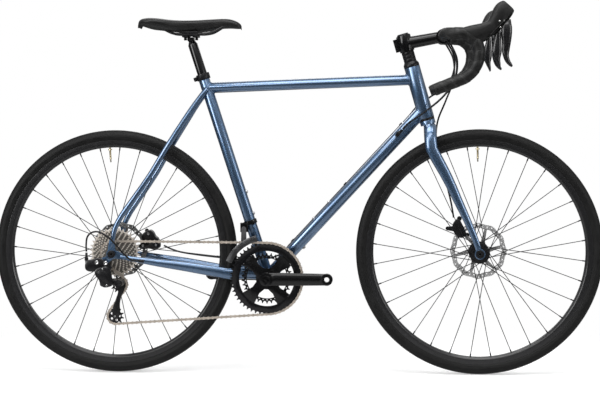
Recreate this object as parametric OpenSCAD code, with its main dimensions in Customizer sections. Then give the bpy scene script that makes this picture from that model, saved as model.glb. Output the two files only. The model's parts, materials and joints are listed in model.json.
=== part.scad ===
// Road bicycle with drop bars, disc brakes and a double chainset.
// X points forward, Y to the rider's left, Z up.
// The origin lies on the ground, midway between the axles.

/* [Wheels] */
// Bead seat diameter of the rims
bead_d = 622; // [584:1:630]
// Width of the tyres, which is also their height above the bead seat
tyre_w = 35; // [28:1:40]
// Thickness of the tyre casing
casing_t = 2.8; // [2:0.1:4]
// Outer width of the rims
rim_w = 25; // [23:0.5:28]
// Depth of the rims from bead seat to inner wall
rim_depth = 14; // [12:0.5:22]
// Wall of the rims
rim_wall = 1.6; // [1.2:0.1:2.2]
// Spokes in each wheel
spoke_n = 32; // [24:4:36]
// Diameter of a spoke
spoke_d = 2; // [1.8:0.1:2.3]
// Diameter of the hub flanges
flange_d = 58; // [50:1:64]
// Diameter of the brake rotors
rotor_d = 160; // [140:20:160]
// Thickness of the brake rotors
rotor_t = 1.8; // [1.5:0.1:2.4]
// Diameter of the through axles
axle_d = 12; // [10:1:12]
// Width between the fork tips
front_old = 100; // [98:1:110]
// Width between the rear dropouts
rear_old = 142; // [140:1:146]

/* [Frame] */
// Distance between the two axles
wheelbase = 1030; // [1000:5:1060]
// Distance from the rear axle to the crank axle
chainstay_len = 440; // [430:1:450]
// Height of the axles above the crank axle
bb_drop = 71; // [64:1:76]
// Angle of the seat tube from the ground
seat_angle = 72.3; // [71:0.1:74]
// Length of the seat tube from the crank axle to its top
seat_tube_len = 602; // [560:1:620]
// Diameter of the seat tube
seat_tube_d = 31.8; // [28.6:0.1:34.9]
// Angle of the steering axis from the ground
head_angle = 74; // [72:0.1:74.5]
// Distance of the front axle ahead of the steering axis
fork_rake = 38; // [34:1:46]
// Length of the head tube
head_tube_len = 148; // [130:1:170]
// Diameter of the head tube
head_tube_d = 44; // [42:0.5:50]
// Height of the lower end of the head tube above the front axle, along the steering axis
fork_len = 404; // [396:1:412]
// Diameter of the top tube
top_tube_d = 30; // [28.6:0.1:34]
// Diameter of the down tube
down_tube_d = 35; // [31.8:0.1:40]
// Wall of the main tubes
tube_t = 1.6; // [0.8:0.1:2.5]
// Width of the bottom bracket shell
bb_w = 68; // [68:1:73]
// Diameter of the bottom bracket shell
bb_d = 41; // [38:1:46]

/* [Seat] */
// Height of the seat rails' clamp above the top of the seat tube, along the post
post_show = 104; // [60:1:160]
// Diameter of the seat post
post_d = 27.2; // [25:0.1:31.6]
// Length of post held inside the seat tube
post_in = 110; // [80:1:160]
// Length of the saddle
saddle_len = 290; // [265:1:300]
// Width of the saddle
saddle_w = 145; // [130:1:160]
// Diameter of the saddle rails
rail_d = 7; // [6:0.5:8]

/* [Bar] */
// Length of the stem between its two clamps
stem_len = 108; // [90:1:120]
// Angle of the stem from square to the steering axis
stem_drop = 6; // [0:1:10]
// Diameter of the bar where the stem holds it
bar_clamp_d = 31.8; // [30:0.1:35]
// Diameter of the bar in the drops
bar_d = 23.8; // [22:0.1:25]
// Width of the bar between the centres of its ends
bar_w = 430; // [400:5:440]
// Thickness of the bar tape
tape_t = 3; // [2:0.5:4]
// Reach of the bar ahead of its clamp
bar_reach = 88; // [88:1:96]
// Length of the straight ends of the drops
drop_end = 75; // [60:1:90]

/* [Drive] */
// Length of the cranks
crank_len = 170; // [165:2.5:175]
// Teeth of the large chainring
ring_n = 50; // [46:2:50]
// Teeth of the small chainring
small_ring_n = 34; // [34:1:36]
// Link pitch of the chain
pitch = 12.7; // [12.7:0.1:12.7]
// Links in the chain
link_n = 118; // [116:2:120]
// Distance from the mid-plane to the large chainring
ring_y = 47; // [46.5:0.1:47.5]
// Distance between the outer faces of the two crank arms
crank_q = 150; // [148:1:160]
// Diameter of the crank axle
spindle_d = 24; // [22:1:24]

/* [Clearances] */
// Gap at mitred and welded joints between tubes
weld_gap = 0.1; // [0.05:0.05:0.2]
// Gap between a shaft and its bore
run_gap = 0.05; // [0.03:0.01:0.08]

/* [Hidden] */
$fn = 64;

// ---- Main places, as [x, y, z] points on the mid-plane ----
bead_r = bead_d / 2;
wheel_r = bead_r + tyre_w;
rear_c = [-wheelbase / 2, 0, wheel_r];
front_c = [wheelbase / 2, 0, wheel_r];
bb_c = rear_c + [sqrt(chainstay_len^2 - bb_drop^2), 0, -bb_drop];

// Unit vectors up the seat tube, up the steering axis and square to it
seat_u = [-cos(seat_angle), 0, sin(seat_angle)];
head_u = [-cos(head_angle), 0, sin(head_angle)];
head_f = [sin(head_angle), 0, cos(head_angle)];

// Point of the steering axis that lies square to the front axle
steer_foot = front_c - fork_rake * head_f;
head_lo = steer_foot + fork_len * head_u;
head_hi = head_lo + head_tube_len * head_u;
seat_top = bb_c + seat_tube_len * seat_u;

// Where the centre lines of the tubes meet the seat tube and the head tube
top_drop_seat = 40;
top_drop_head = 36;
down_rise_head = 26;
tt_rear = seat_top - top_drop_seat * seat_u;
tt_front = head_hi - top_drop_head * head_u;
dt_front = head_lo + down_rise_head * head_u;

// ---- Helpers ----
// Puts the Z axis of its children along the line from p to q.
module along(p, q) {
    d = q - p;
    translate(p) rotate([0, acos(d.z / norm(d)), atan2(d.y, d.x)]) children();
}

// A rod from p to q, with radius r1 at p and r2 at q.
module rod(p, q, r1, r2 = undef) {
    along(p, q) cylinder(h = norm(q - p), r1 = r1, r2 = is_undef(r2) ? r1 : r2);
}

// A cylinder about a line parallel to Y, from y0 to y1.
module across(c, r, y0, y1) {
    translate([c.x, y0, c.z]) rotate([-90, 0, 0]) cylinder(h = y1 - y0, r = r);
}

// A disc that lies on side s of the plane y, from near to far of it.
module beside(c, r, y, s, near, far) {
    across(c, r, y + min(s * near, s * far), y + max(s * near, s * far));
}

// A flat outline drawn as [x, z] and given thickness from y0 to y1.
module plate(y0, y1) {
    translate([0, y1, 0]) rotate([90, 0, 0]) linear_extrude(y1 - y0) children();
}

// A body turned about the Y axis through c.
module spun(c) {
    translate(c) rotate([-90, 0, 0]) rotate_extrude($fn = 96) children();
}

// Mirrors its children to both sides of the mid-plane.
module both_sides() {
    children();
    mirror([0, 1, 0]) children();
}

function mix(a, b, t) = a + (b - a) * t;
function turn2(a) = [cos(a), sin(a)];
function unit(v) = v / norm(v);

// A smooth curve through the points of a list, n steps to each span.
function curve_at(p, i, t) =
    let (a = p[max(i - 1, 0)], b = p[i], c = p[i + 1], d = p[min(i + 2, len(p) - 1)])
    0.5 * ((2 * b) + (c - a) * t + (2 * a - 5 * b + 4 * c - d) * t^2 + (3 * b - a - 3 * c + d) * t^3);
function curve(p, n) = [for (i = [0:len(p) - 2], k = [0:n - 1]) curve_at(p, i, k / n), p[len(p) - 1]];

// Sweeps an oval of half-width w across the path and half-height h along it.
// Each row of path is [x, y, z, w, h]; the path runs mostly in planes parallel to XZ.
function sweep_points(path, sides) = [
    for (i = [0:len(path) - 1])
        let (
            here = [path[i][0], path[i][1], path[i][2]],
            a = path[max(i - 1, 0)],
            b = path[min(i + 1, len(path) - 1)],
            d = unit([b[0] - a[0], b[1] - a[1], b[2] - a[2]]),
            side = unit(abs(d.y) > 0.9 ? cross([1, 0, 0], d) : [0, 1, 0] - d.y * d),
            top = cross(d, side)
        )
        for (k = [0:sides - 1])
            here + side * path[i][3] * cos(360 * k / sides) + top * path[i][4] * sin(360 * k / sides)];
function sweep_faces(rows, sides) = concat(
    [[for (k = [0:sides - 1]) k]],
    [for (i = [0:rows - 2], k = [0:sides - 1])
        let (a = i * sides, b = a + sides, n = (k + 1) % sides)
        [a + k, b + k, b + n, a + n]],
    [[for (k = [0:sides - 1]) rows * sides - 1 - k]]);
module sweep(path, sides = 16) {
    polyhedron(sweep_points(path, sides), sweep_faces(len(path), sides), convexity = 6);
}
function round_path(points, r) = [for (p = points) [p.x, p.y, p.z, r, r]];

// ---- Frame ----
blue = "#1f6fae";
seat_r = seat_tube_d / 2;
head_r = head_tube_d / 2;
seat_f = [sin(seat_angle), 0, cos(seat_angle)];
dt_u = unit(dt_front - bb_c);
dt_up = [-dt_u.z, 0, dt_u.x];
dropout_t = 6;
rear_y = rear_old / 2;
front_y = front_old / 2;
tip_t = 7;
axle_r = axle_d / 2;
bolt_r = 2.5;
bottle_pitch = 64;
seat_bolts = [185, 185 + bottle_pitch];
down_bolts = [210, 210 + bottle_pitch];
belly_bolt = 131;

module pipe(p, q, r, t) {
    difference() {
        rod(p, q, r);
        rod(p - unit(q - p), q + unit(q - p), r - t);
    }
}

// Solid envelopes of the main tubes, used to mitre their neighbours.
module seat_core(g = 0) { rod(bb_c, seat_top + 30 * seat_u, seat_r + g); }
module head_core(g = 0) { rod(head_lo - 40 * head_u, head_hi + 40 * head_u, head_r + g); }
module bb_core(g = 0) { across(bb_c, bb_d / 2 + g, -bb_w / 2 - 1, bb_w / 2 + 1); }

// Holes for the bottle bolts, square to the tube at distances s from the crank axle.
module bolt_holes(u, n, list) {
    for (s = list) rod(bb_c + s * u, bb_c + s * u + 40 * n, bolt_r + run_gap);
}

module head_tube() {
    color(blue) pipe(head_lo, head_hi, head_r, 2);
}

module top_tube() {
    color(blue) difference() {
        pipe(tt_rear, tt_front, top_tube_d / 2, tube_t);
        seat_core(weld_gap);
        head_core(weld_gap);
    }
}

module down_tube() {
    color(blue) difference() {
        pipe(bb_c, dt_front, down_tube_d / 2, tube_t);
        bb_core(weld_gap);
        seat_core(weld_gap);
        head_core(weld_gap);
        bolt_holes(dt_u, dt_up, down_bolts);
        bolt_holes(dt_u, -dt_up, [belly_bolt]);
    }
}

module seat_tube() {
    color(blue) difference() {
        rod(bb_c, seat_top, seat_r);
        rod(bb_c, seat_top - post_in * seat_u, seat_r - tube_t);
        rod(bb_c + seat_tube_len / 2 * seat_u, seat_top + seat_u, post_d / 2 + run_gap);
        bb_core(weld_gap);
        bolt_holes(seat_u, seat_f, seat_bolts);
    }
}

module bottom_bracket_shell() {
    color(blue) difference() {
        across(bb_c, bb_d / 2, -bb_w / 2, bb_w / 2);
        across(bb_c, bb_d / 2 - 3.5, -bb_w / 2 - 1, bb_w / 2 + 1);
    }
}

// Chainstay: from the bottom bracket shell, between tyre and chainrings, out to the dropout.
// Rows are [ahead of the rear axle, y, above the rear axle, half width, half height].
stay_run = bb_c.x - rear_c.x;
chainstay_rows = [
    [stay_run - 8, 21, -bb_drop + 8, 8, 16], [stay_run - 60, 25, -bb_drop + 13, 7.8, 16],
    [stay_run - 106, 30.5, -60, 7.6, 15.6], [stay_run - 140, 34.5, -54, 8, 15.2],
    [stay_run - 185, 41, -46, 9, 14.5], [stay_run - 240, 50, -36, 9.5, 13.2],
    [stay_run - 300, 60, -27, 9, 11], [90, 66.5, -19.5, 7.5, 9], [55, 71, -14, 6.5, 7.2],
    [24, 74, -8, 5.5, 6]];
// Seatstay: from the seat tube down to the dropout, in the same terms but with a radius.
seatstay_rows = [
    [tt_rear.x - rear_c.x + 2, 13, tt_rear.z - wheel_r - 2, 8], [232, 20, 418, 8], [204, 31, 376, 8],
    [155, 42, 300, 8], [110, 52, 224, 8], [62, 62, 155, 8], [28, 69, 107, 8], [9, 73, 70, 7.5],
    [4, 74.5, 44, 6.5], [-1, 74.5, 20, 5.5]];

module dropout_shape() {
    difference() {
        union() {
            circle(r = 15);
            polygon([[0, -12], [40, -16], [46, -6], [8, 12]]);
            polygon([[-12, 4], [-6, 40], [8, 40], [12, 4]]);
        }
        circle(r = axle_r + run_gap);
    }
}

// Place of the rear derailleur's bolt, below and behind the rear axle
hanger = [-36, -21];
hanger_screw = [-16, -21];
module hanger_shape() {
    difference() {
        union() {
            polygon([[-13, -5], [4, -13], [-12, -28], [-30, -30], [-44, -24], [-42, -14], [-28, -12]]);
            translate(hanger) circle(r = 9);
        }
        circle(r = 15 + weld_gap);
        translate(hanger) circle(r = 5 + run_gap);
        translate(hanger_screw) circle(r = bolt_r + run_gap);
    }
}

module at_rear(y0, y1) { translate([rear_c.x, 0, rear_c.z]) plate(y0, y1) children(); }

module dropouts() {
    color(blue) difference() {
        both_sides() at_rear(rear_y, rear_y + dropout_t) dropout_shape();
        at_rear(-rear_y - 12, -rear_y - 3) hanger_recess();
    }
    color("#222222") at_rear(-rear_y - dropout_t - 3, -rear_y - 3.1) hanger_shape();
    color("#222222") translate([rear_c.x + hanger_screw.x, 0, rear_c.z + hanger_screw.y])
        across([0, 0, 0], bolt_r, -rear_y - dropout_t - 4, -rear_y - 3.2);
}

// Space that the hanger takes from the right dropout.
module hanger_recess() {
    difference() {
        polygon([[-15, -4], [5, -14], [-12, -30], [-46, -30], [-46, -10], [-28, -10]]);
        circle(r = 15);
    }
}

module stay_cut() {
    both_sides() at_rear(rear_y - 0.1, rear_y + dropout_t + 0.1) dropout_shape_solid();
}
module dropout_shape_solid() {
    circle(r = 15.1);
    polygon([[0, -12.2], [40.2, -16.2], [46.2, -6], [8, 12.2]]);
    polygon([[-12.2, 4], [-6.2, 40.2], [8.2, 40.2], [12.2, 4]]);
}

module chainstays() {
    rows = [for (p = curve(chainstay_rows, 2)) [rear_c.x + p[0], p[1], rear_c.z + p[2], p[3], p[4]]];
    color(blue) difference() {
        both_sides() sweep(rows, 20);
        bb_core(weld_gap);
        seat_core(weld_gap);
        stay_cut();
    }
}

module seatstays() {
    rows = [for (p = curve(seatstay_rows, 2)) [rear_c.x + p[0], p[1], rear_c.z + p[2], p[3], p[3]]];
    color(blue) difference() {
        both_sides() sweep(rows, 16);
        seat_core(weld_gap);
        rod(tt_rear, tt_front, top_tube_d / 2 + weld_gap);
        stay_cut();
    }
}

collar_h = 15;
module seat_collar() {
    lug = seat_top - collar_h / 2 * seat_u - (seat_r + 7) * seat_f;
    color("#1c1c1e") difference() {
        union() {
            rod(seat_top - collar_h * seat_u, seat_top + 1.5 * seat_u, seat_r + 3.2);
            along(seat_top - collar_h * seat_u, seat_top) translate([seat_r - 1, -8, 2]) cube([12, 16, 11]);
        }
        rod(seat_top - 20 * seat_u, seat_top, seat_r + run_gap);
        rod(seat_top - seat_u, seat_top + 3 * seat_u, post_d / 2 + 2 * run_gap);
        along(seat_top - collar_h * seat_u, seat_top + seat_u)
            translate([seat_r - 2, -1, -1]) cube([14, 2, collar_h + 4]);
        across(lug, bolt_r + run_gap, -12, 12);
    }
    color("silver") {
        across(lug, bolt_r, -12, 8);
        across(lug, 4.2, -12, -8 - run_gap);
    }
}

// Button-head bolt with a hexagon socket, its head seated at p and facing n.
module button_bolt(p, n, shank) {
    along(p, p + n) difference() {
        union() {
            cylinder(h = 2.4, r1 = 4.7, r2 = 3.2);
            translate([0, 0, -shank]) cylinder(h = shank + 0.1, r = bolt_r);
        }
        translate([0, 0, 1]) cylinder(h = 2, r = 1.7, $fn = 6);
    }
}

boss_h = 1.6;
module bottle_bolts() {
    color("silver") {
        for (s = seat_bolts) boss_and_bolt(bb_c + s * seat_u, seat_f, seat_r);
        for (s = down_bolts) boss_and_bolt(bb_c + s * dt_u, dt_up, down_tube_d / 2);
        boss_and_bolt(bb_c + belly_bolt * dt_u, -dt_up, down_tube_d / 2);
    }
}
module boss_and_bolt(axis, n, r) {
    difference() {
        rod(axis + (r - 2) * n, axis + (r + boss_h) * n, 5.5);
        rod(axis, axis + (r + 8) * n, bolt_r + run_gap);
        along(axis - 30 * cross(n, [0, 1, 0]), axis + 30 * cross(n, [0, 1, 0]))
            translate([0, 0, -5]) cylinder(h = 70, r = r + 0.05);
    }
    button_bolt(axis + (r + boss_h + 0.05) * n, n, 9);
}

// Barrel stops on the sides of the down tube, and guides along its upper left side.
stop_s = 547;
guide_list = [122, 342, 572];
housing_r = 2.5;
guide_turn = 35;
guide_out = down_tube_d / 2 + housing_r + 0.8;
guide_n = cos(guide_turn) * dt_up + [0, sin(guide_turn), 0];
stop_c = bb_c + stop_s * dt_u + 6 * dt_up + [0, down_tube_d / 2 + 4.2, 0];
module cable_stops() {
    color("#1c1c1e") {
        both_sides() difference() {
            union() {
                rod(stop_c - 9 * dt_u, stop_c + 9 * dt_u, 4.6);
                rod(stop_c + 9 * dt_u, stop_c + 17 * dt_u, 3.6);
                rod(stop_c - [0, 4, 0], stop_c + [0, 4.8, 0], 6);
            }
            rod(stop_c, stop_c + 30 * dt_u, housing_r + run_gap);
            rod(bb_c, dt_front, down_tube_d / 2 + 0.1);
        }
        for (s = guide_list) dt_guide(bb_c + s * dt_u);
        stay_stop();
    }
}
module dt_guide(p) {
    c = p + guide_out * guide_n;
    difference() {
        rod(c - 5 * dt_u, c + 5 * dt_u, 4.4);
        rod(p - 9 * dt_u, p + 9 * dt_u, down_tube_d / 2 + 0.1);
        rod(c - 9 * dt_u, c + 9 * dt_u, housing_r + 0.3);
    }
}
// Stop on the right chainstay where the derailleur housing comes out of the frame.
stay_stop_at = [92, -79, -20];
module stay_stop() {
    p = rear_c + stay_stop_at;
    u = unit([-14, -1.5, 1.5]);
    difference() {
        rod(p, p + 14 * u, 4.4);
        rod(p + 4 * u, p + 20 * u, housing_r + run_gap);
    }
}

steer_d = 28.6;
steer_r = steer_d / 2;
cup_h = 15;
low_cup_h = 7;
module headset_cups() {
    color("#161616") difference() {
        union() {
            rod(head_hi + run_gap * head_u, head_hi + 8 * head_u, head_r);
            rod(head_hi + 8 * head_u, head_hi + cup_h * head_u, head_r, head_r - 4);
            rod(head_hi - 10 * head_u, head_hi + head_u, head_r - 2 - run_gap);
            rod(head_lo - low_cup_h * head_u, head_lo - run_gap * head_u, head_r - 0.6);
            rod(head_lo - head_u, head_lo + 10 * head_u, head_r - 2 - run_gap);
        }
        rod(head_lo - 60 * head_u, head_hi + 60 * head_u, steer_r + run_gap);
    }
}

cup_w = 10.5;
spindle_r = spindle_d / 2;
module bearing_cups() {
    color("#1a1a1c") both_sides() difference() {
        union() {
            across(bb_c, 22, bb_w / 2 + run_gap, bb_w / 2 + cup_w);
            across(bb_c, bb_d / 2 - 3.5 - run_gap, bb_w / 2 - 14, bb_w / 2 + 1);
        }
        across(bb_c, spindle_r + run_gap, 0, 80);
        for (a = [0:360 / 16:359])
            translate([bb_c.x, 0, bb_c.z]) rotate([0, a, 0])
                across([23, 0, 0], 1.6, bb_w / 2 + 3, bb_w / 2 + cup_w + 1);
    }
}

module rear_axle() {
    color("#161616") difference() {
        union() {
            across(rear_c, axle_r, -rear_y - 13, rear_y + 9);
            across(rear_c, 10.7, -rear_y - 14, -rear_y - dropout_t - run_gap);
            across(rear_c, 9, rear_y + dropout_t + run_gap, rear_y + 10);
        }
        across(rear_c, 3, -rear_y - 20, -rear_y - 6);
        across(rear_c, 3.5, rear_y + 2, rear_y + 12);
    }
}

// ---- Seat ----
post_top = seat_top + post_show * seat_u;
saddle_c = post_top + [0, 0, 2];
rail_y = 22;
rail_r = rail_d / 2;
// Saddle sections from tail to nose: [along, half width, top height, thickness], as shares of
// its length and width in the first two places.
saddle_rows = [
    [0, 0.30, 47, 12], [0.03, 0.42, 53, 22], [0.1, 0.49, 56, 26], [0.22, 0.47, 55, 26],
    [0.36, 0.33, 51, 24], [0.52, 0.19, 50, 24], [0.7, 0.135, 52, 23], [0.86, 0.125, 50, 22],
    [0.96, 0.1, 42, 18], [1, 0.05, 34, 13]];
saddle_back = -148;

post_wall = 2.2;
post_len = norm(post_top - seat_top) + post_in;
module seatpost() {
    color("#18181a") difference() {
        union() {
            along(seat_top - post_in * seat_u, post_top) rotate_extrude() polygon([
                [post_d / 2 - post_wall, 0], [post_d / 2, 0], [post_d / 2, post_len - 16],
                [7.5, post_len - 3], [0, post_len - 3], [0, post_len - 30],
                [post_d / 2 - post_wall, post_len - 30]]);
            across(post_top, 9, -15, 15);
        }
        across(post_top, 4 + run_gap, -20, 20);
        translate([post_top.x - 30, -30, post_top.z + 5]) cube([60, 60, 30]);
    }
}

module saddle_clamp() {
    z0 = post_top.z + 5 + run_gap;
    color("#1c1c1e") difference() {
        translate([post_top.x, 0, 0]) union() {
            translate([-22, -rail_y - 6, z0]) cube([44, 2 * rail_y + 12, 9]);
            translate([-22, -rail_y - 6, z0 + 9.3]) cube([44, 2 * rail_y + 12, 7]);
        }
        both_sides() rod([post_top.x - 40, rail_y, z0 + 9.15], [post_top.x + 40, rail_y, z0 + 9.15],
            rail_r + run_gap);
        for (x = [-16, 16]) translate([post_top.x + x, 0, z0 - 1]) cylinder(h = 20, r = bolt_r + run_gap);
        across(post_top, 9.1, -30, 30);
    }
    color("silver") for (x = [-16, 16]) translate([post_top.x + x, 0, z0 - 8]) {
        cylinder(h = 26, r = bolt_r);
        translate([0, 0, 24.4]) cylinder(h = 3, r = 4.4);
        translate([0, 0, 0]) cylinder(h = 7.9, r = 4.2);
    }
    color("#1c1c1e") across(post_top, 4, -15, 15);
}

module saddle_rails() {
    z0 = post_top.z + 5 + run_gap + 9.15;
    x = post_top.x;
    color("#2a2a2c") both_sides() sweep(round_path(curve([
        [x - 92, 36, z0 + 22], [x - 74, 32, z0 + 14], [x - 52, 25, z0 + 3], [x - 36, rail_y, z0],
        [x - 24, rail_y, z0], [x + 24, rail_y, z0], [x + 38, rail_y, z0], [x + 62, 20, z0 + 4],
        [x + 86, 15, z0 + 17],
        [x + 104, 10, z0 + 25]], 3), rail_r), 12);
}

module saddle() {
    x0 = saddle_c.x + saddle_back;
    sides = 24;
    rows = curve(saddle_rows, 2);
    ring = [for (r = rows, k = [0:sides - 1])
        let (
            a = 360 * k / sides,
            w = r[1] * saddle_w,
            up = sin(a) >= 0,
            z = up ? r[2] - 9 + 9 * sqrt(max(0, sin(a))) : r[2] - 9 - (r[3] - 9) * sqrt(-sin(a))
        )
        [x0 + r[0] * saddle_len, w * (up ? cos(a) : cos(a) * (1 - 0.12 * sin(a)^2)), saddle_c.z + z]];
    color("#121214") difference() {
        polyhedron(ring, sweep_faces(len(rows), sides), convexity = 6);
        // Hollow under the shell, where the rails rise to their sockets
        translate([saddle_c.x - 96, -46, saddle_c.z]) cube([50, 92, 47]);
        translate([saddle_c.x - 48, -24, saddle_c.z]) cube([110, 48, 44]);
        translate([saddle_c.x + 60, -18, saddle_c.z]) cube([46, 36, 42]);
    }
}

// ---- Fork and bar ----
crown_h = 12;
spacer_h = 10;
spacer_n = 3;
stem_clamp_h = 46;
spacer_lo = head_hi + (cup_h + run_gap) * head_u;
stem_lo = spacer_lo + spacer_n * (spacer_h + run_gap) * head_u;
stem_hi = stem_lo + stem_clamp_h * head_u;
stem_mid = stem_lo + stem_clamp_h / 2 * head_u;
stem_u = cos(stem_drop) * head_f - sin(stem_drop) * head_u;
bar_c = stem_mid + stem_len * stem_u;
crown_top = head_lo - (low_cup_h + run_gap) * head_u;

module fork_steerer() {
    color("#161616") {
        difference() {
            rod(crown_top, stem_hi - 3 * head_u, steer_r);
            rod(crown_top - head_u, stem_hi, steer_r - 2.5);
        }
        for (i = [0:spacer_n - 1]) {
            a = spacer_lo + i * (spacer_h + run_gap) * head_u;
            difference() {
                rod(a, a + spacer_h * head_u, 17.5);
                rod(a - head_u, a + 20 * head_u, steer_r + run_gap);
            }
        }
        // Top cap with its bolt
        difference() {
            rod(stem_hi + run_gap * head_u, stem_hi + 5 * head_u, 17.5, 15);
            rod(stem_hi + 2 * head_u, stem_hi + 8 * head_u, 4.6);
        }
    }
    color("silver") rod(stem_hi + (2 + run_gap) * head_u, stem_hi + 4.6 * head_u, 4.5);
}

// Fork crown and blades: rows of [ahead of the front axle, y, above it, half width, half depth]
blade_rows = [
    [-134, 41, 292, 9.5, 17], [-118, 43, 262, 9.5, 16.5], [-99, 44.5, 228, 9.2, 15.5],
    [-78, 46, 186, 9, 14], [-60, 47.5, 146, 8.5, 12.5], [-42, 49.5, 108, 8, 11], [-26, 51.5, 72, 7.5, 9.8],
    [-12, 53, 38, 5.6, 8.8], [-4, 53.7, 12, 3.4, 8]];
crown_rows = [
    [-139, -8, 356, 11, 17], [-139, 0, 356, 11, 17], [-138, 14, 352, 12, 17.5],
    [-137, 30, 333, 12, 17.5], [-136, 38, 312, 10.5, 17.2]];

module fork_blades() {
    tip = [front_c.x, 0, front_c.z];
    rows = [for (p = concat(curve(crown_rows, 2), curve(blade_rows, 2)))
        [front_c.x + p[0], p[1], front_c.z + p[2], p[3], p[4]]];
    color(blue) difference() {
        union() {
            both_sides() sweep(rows, 20);
            rod(crown_top - crown_h * head_u, crown_top, head_r - 0.6);
        }
        both_sides() across(tip, 15.1, front_y - 0.1, front_y + tip_t + 0.1);
        // Hole through the crown, fore and aft
        rod(crown_top - 24 * head_u - 40 * head_f, crown_top - 24 * head_u + 40 * head_f, 3);
        // Eyelets on the blades and near the tips
        both_sides() for (e = blade_eyelets) across(front_c + e, bolt_r, 30, 80);
    }
    color(blue) both_sides() difference() {
        across(tip, 15, front_y, front_y + tip_t);
        across(tip, axle_r + run_gap, front_y - 1, front_y + tip_t + 1);
    }
}
blade_eyelets = [[-68, 0, 140]];

module front_axle() {
    c = front_c;
    color("#161616") difference() {
        union() {
            across(c, axle_r, -front_y - 9, front_y + 10);
            across(c, 11.7, -front_y - tip_t - 3, -front_y - tip_t - run_gap);
            across(c, 9, front_y + tip_t + run_gap, front_y + 11);
        }
        across(c, 3, -front_y - 20, -front_y - 2);
        across(c, 3.5, front_y + 4, front_y + 14);
    }
}

stem_r = 16;
module stem() {
    color("#1a1a1c") difference() {
        union() {
            rod(stem_lo + run_gap * head_u, stem_hi, 20.5);
            rod(stem_mid, bar_c - 12 * stem_u, stem_r + 1.5, stem_r);
            across(bar_c, bar_clamp_d / 2 + 5, -23, 23);
            // Ears of the steerer clamp
            along(stem_lo, stem_hi) translate([11, -9, 5]) cube([20, 18, 36]);
        }
        rod(stem_lo - head_u, stem_hi + head_u, steer_r + run_gap);
        across(bar_c, bar_clamp_d / 2 + run_gap, -30, 30);
        stem_split(0.4);
        along(stem_lo, stem_hi) translate([12, -1, -1]) cube([30, 2, 60]);
        for (h = [14, 32]) across(stem_lo + h * head_u - 25 * head_f, bolt_r + run_gap, -20, 20);
    }
    color("#1a1a1c") difference() {
        intersection() {
            across(bar_c, bar_clamp_d / 2 + 5, -23, 23);
            stem_split(-0.4);
        }
        across(bar_c, bar_clamp_d / 2 + run_gap, -30, 30);
        face_bolts(bolt_r + run_gap);
    }
    color("silver") {
        face_bolts(bolt_r);
        for (h = [14, 32]) {
            c = stem_lo + h * head_u - 25 * head_f;
            across(c, bolt_r, -9, 12);
            across(c, 4.2, 9 + run_gap, 13);
        }
    }
}
// Everything ahead of the plane that splits the bar clamp, set back by g
module stem_split(g) {
    translate([bar_c.x, 0, bar_c.z]) rotate([0, -atan2(stem_u.z, stem_u.x), 0])
        translate([-g, -40, -60]) cube([80, 80, 120]);
}
module face_bolts(r) {
    up = [-stem_u.z, 0, stem_u.x];
    for (y = [-16, 16], s = [-1, 1]) {
        p = bar_c + [0, y, 0] + s * (bar_clamp_d / 2 + 2.9) * up;
        rod(p + 0.5 * stem_u, p + 9 * stem_u, r);
    }
}

// The bar: a straight top, a bend forward, a bend down and a long bend back to the drop.
bend_f = 38;
bend_d = 48;
bend_b = 75;
drop_tilt = 21;
bar_y = bar_w / 2;
top_run = bar_y - bend_f;
turn_c = bar_c + [bend_f + (bar_reach - bend_f - bend_d), 0, -bend_d];
mid_run = 5;
back_c = turn_c + [bend_d - bend_b, 0, -mid_run];
drop_in = back_c + bend_b * [cos(90 - drop_tilt), 0, -sin(90 - drop_tilt)];
drop_u = [-cos(drop_tilt), 0, -sin(drop_tilt)];
drop_out = drop_in + drop_end * drop_u;

// An arc of rod in a plane parallel to XZ, from angle a0 to a1
module bend(c, r, a0, a1, ro) {
    translate(c) rotate([90, 0, 0]) rotate([0, 0, a0])
        rotate_extrude(angle = a1 - a0) translate([r, 0]) circle(r = ro);
}
bar_r = bar_d / 2;
clamp_half = 30;
bar_taper = 28;
bar_wall = 2;
tape_gap = 0.2;
tape_r = bar_r + tape_gap + tape_t;
tape_from = 74;

// Points of an arc about c, from u toward v
function arc_points(c, u, v, r, a0, a1, n) = [
    for (i = [0:n]) let (a = mix(a0, a1, i / n)) c + r * (u * cos(a) + v * sin(a))];
// Centre line of one half of the bar, from the taper beside the stem to the end of the drop
bar_line = let (side = [0, bar_y, 0]) concat(
    [for (y = [clamp_half + bar_taper - 4, top_run / 2]) bar_c + [0, y, 0]],
    arc_points(bar_c + [bend_f, top_run, 0], [-1, 0, 0], [0, 1, 0], bend_f, 0, 90, 8),
    arc_points(turn_c + side, [0, 0, 1], [1, 0, 0], bend_d, 0, 90, 10),
    arc_points(back_c + side, [1, 0, 0], [0, 0, -1], bend_b, 0, 90 - drop_tilt, 10),
    [drop_out + side]);

module handlebar() {
    color("#161618") {
        difference() {
            union() {
                both_sides() sweep(round_path(bar_line, bar_r), 16);
                across(bar_c, bar_clamp_d / 2, -clamp_half, clamp_half);
                both_sides() translate([bar_c.x, clamp_half, bar_c.z]) rotate([-90, 0, 0])
                    cylinder(h = bar_taper, r1 = bar_clamp_d / 2, r2 = bar_r + 0.1);
            }
            across(bar_c, bar_r - bar_wall, -tape_from, tape_from);
            both_sides() translate([0, bar_y, 0])
                rod(drop_out - 20 * drop_u, drop_out + drop_u, bar_r - bar_wall);
        }
        // Plugs in the ends of the drops
        both_sides() translate([0, bar_y, 0]) {
            rod(drop_out + run_gap * drop_u, drop_out + 3 * drop_u, bar_r + 2);
            rod(drop_out - 12 * drop_u, drop_out + drop_u, bar_r - bar_wall - run_gap);
        }
    }
}

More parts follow.
